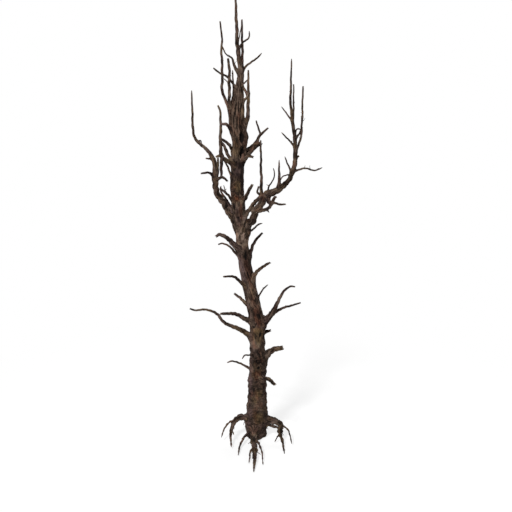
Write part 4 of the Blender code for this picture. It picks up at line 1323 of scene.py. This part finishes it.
def wood(name, palette):
    """Dead bark: dark furrows, partly painted shade, lighter crests, bleached, mossy, rusty, purplish and
    dark patches, some of them painted light and shade, and painted shade in the hollows.
    """
    material = bpy.data.materials.new(name)
    nodes, feed, add = nodes_of(material)

    def attribute(key, output="Fac"):
        return add("Attribute", {}, output, attribute_name=key)

    def maths(operation, a, b):
        return add("Math", {0: a, 1: b}, operation=operation)

    def grained(key):
        drawn, scale, detail, rough = GRAINS[key]
        places = add("VectorMath", {0: attribute("grain", "Vector"), 1: drawn}, operation="MULTIPLY")
        settings = {"Vector": places, "Scale": scale, "Detail": detail, "Roughness": rough}
        return add("TexNoise", settings, "Fac")

    def blend(share, a, b, how="MIX"):
        inputs = {"Factor": share, "A": a, "B": (*b, 1)}
        return add("Mix", inputs, "Result", data_type="RGBA", blend_type=how)

    def span(value, low, high):
        inputs = {"Value": value, "From Min": low, "From Max": high}
        return add("MapRange", inputs, "Result", interpolation_type="SMOOTHSTEP")

    grain = {key: grained(key) for key in GRAINS}
    scaly = attribute("scaly")
    # Long streaks on fibrous bark, and bands across it on scaly bark.
    shares = {
        "streaks": maths("SUBTRACT", 1.5, scaly),
        "bands": maths("MULTIPLY", scaly, 1.3),
        "specks": 0.55,
        "patches": 1.0,
        "blotches": maths("SUBTRACT", 1.6, maths("MULTIPLY", scaly, 0.8)),
        "threads": 0.5,
    }
    tone = maths("ADD", maths("MULTIPLY", attribute("relief"), 0.46), 0.50)
    for key, share in shares.items():
        tone = maths("ADD", tone, maths("MULTIPLY", maths("SUBTRACT", grain[key], 0.5), share))
    colour = add("ValToRGB", {"Fac": tone}, "Color")
    stops = colour.node.color_ramp.elements
    stops.new(STOPS[1])
    for stop, place, shade in zip(stops, STOPS, palette):
        stop.position, stop.color = place, (*shade, 1)
    pale = attribute("pale")
    worn = span(maths("ADD", grain["streaks"], maths("MULTIPLY", pale, 0.3)), 0.42, 0.72)
    colour = blend(maths("MULTIPLY", pale, worn), colour, PALE)
    for key, tint in TINTED.items():
        patch = attribute(key)
        ragged = span(maths("ADD", grain["blotches"], maths("MULTIPLY", patch, 0.3)), 0.38, 0.62)
        colour = blend(maths("MULTIPLY", patch, ragged), colour, tint, "MULTIPLY")
    # Painted shade inside the hollows.
    colour = blend(span(attribute("hollow"), 0.12, 0.50), colour, HOLLOW_SHADE)
    fine = maths("MULTIPLY", maths("ADD", grain["threads"], grain["specks"]), 0.35)
    height = maths("ADD", grain["streaks"], fine)
    feed(nodes["Principled BSDF"], {
        "Base Color": colour,
        "Roughness": add("MapRange", {"Value": tone, "To Min": 0.95, "To Max": 0.80}, "Result"),
        "Metallic": 0,
        "Specular IOR Level": 0.12,
        "Normal": add("Bump", {"Strength": 0.8, "Distance": BUMP, "Height": height}, "Normal"),
    })
    return material


# ---------------------------------------------------------------- floor, light and camera

TARGET = Vector((-0.024, 0, 4.45))
DISTANCE = 16
LOOK_DOWN = 14
AMBIENT = 0.36  # how bright the white room lights the tree, where the camera sees it as 1
FLOOR = 60
FLOOR_FADE = (2.5, 9.0)  # the distances over which the floor turns from lit to plain white
FLOOR_GLOW = 0.75  # how far it already is in the middle
LIGHTS = {"key": ((-14, -26, 34), 20000, 7), "fill": ((16, 26, 20), 6000, 14)}  # place, power, size


def aimed(name, data, place):
    """A lamp or a camera that points at the tree."""
    thing = bpy.data.objects.new(name, data)
    thing.location = place
    thing.rotation_euler = (TARGET - Vector(place)).to_track_quat("-Z", "Y").to_euler()
    bpy.context.scene.collection.objects.link(thing)
    return thing


def room():
    scene = bpy.context.scene
    scene.view_settings.view_transform = "Standard"
    scene.world = bpy.data.worlds.new("studio")
    nodes, feed, add = nodes_of(scene.world)
    seen = add("LightPath", {}, "Is Camera Ray")
    strength = add("MapRange", {"Value": seen, "To Min": AMBIENT, "To Max": 1.0}, "Result")
    feed(nodes["Background"], {"Color": (1, 1, 1, 1), "Strength": strength})
    for name, (place, power, size) in LIGHTS.items():
        light = bpy.data.lights.new(name, "AREA")
        light.energy = power
        light.size = size
        lamp = aimed(name, light, place)
    camera = bpy.data.cameras.new("camera")
    camera.lens = 50
    camera.sensor_width = 36
    down = math.radians(LOOK_DOWN)
    place = TARGET + Vector((0, -math.cos(down), math.sin(down))) * DISTANCE
    scene.camera = aimed("camera", camera, place)


def pale_floor():
    """A pale floor that glows white further out, so that it shows no edge."""
    bpy.ops.mesh.primitive_circle_add(vertices=96, radius=FLOOR, fill_type="NGON", location=(0, 0, 0))
    floor = bpy.context.object
    floor.name = "floor"
    material = bpy.data.materials.new("floor")
    nodes, feed, add = nodes_of(material)
    shader = nodes["Principled BSDF"]
    feed(shader, {"Base Color": (0.86, 0.86, 0.86, 1), "Roughness": 0.9, "Specular IOR Level": 0.1})
    away = add("VectorMath", {0: add("TexCoord", {}, "Object")}, "Value", operation="LENGTH")
    fade = {"Value": away, "From Min": FLOOR_FADE[0], "From Max": FLOOR_FADE[1], "To Min": FLOOR_GLOW}
    share = add("MapRange", fade, "Result", interpolation_type="SMOOTHSTEP")
    glow = add("Emission", {"Color": (1, 1, 1, 1)})
    feed(nodes["Material Output"], {"Surface": add("MixShader", {0: share, 1: shader.outputs[0], 2: glow})})
    floor.data.materials.append(material)


# ---------------------------------------------------------------- the tree

SLOTS = {
    "trunk": "bark",
    "boughs": "bark",
    "shoots": "grey_wood",
    "branches": "red_wood",
    "roots": "mossy_bark",
    "twigs": "twig_wood",
}

shafts, meetings, spurs = grow()
for shaft in shafts.values():
    shaft.surface()
join(shafts, meetings, spurs)
for kind in SLOTS:
    tubes = [shaft for shaft in shafts.values() if shaft.kind == kind]
    piece = piece_of(f"{kind}_bark", tubes, wood(f"{kind}_wood", PALETTES[kind]))
    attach(piece, "root")
    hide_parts(*(["trunk"] if kind == "trunk" else KINDS[kind]))
pale_floor()
room()
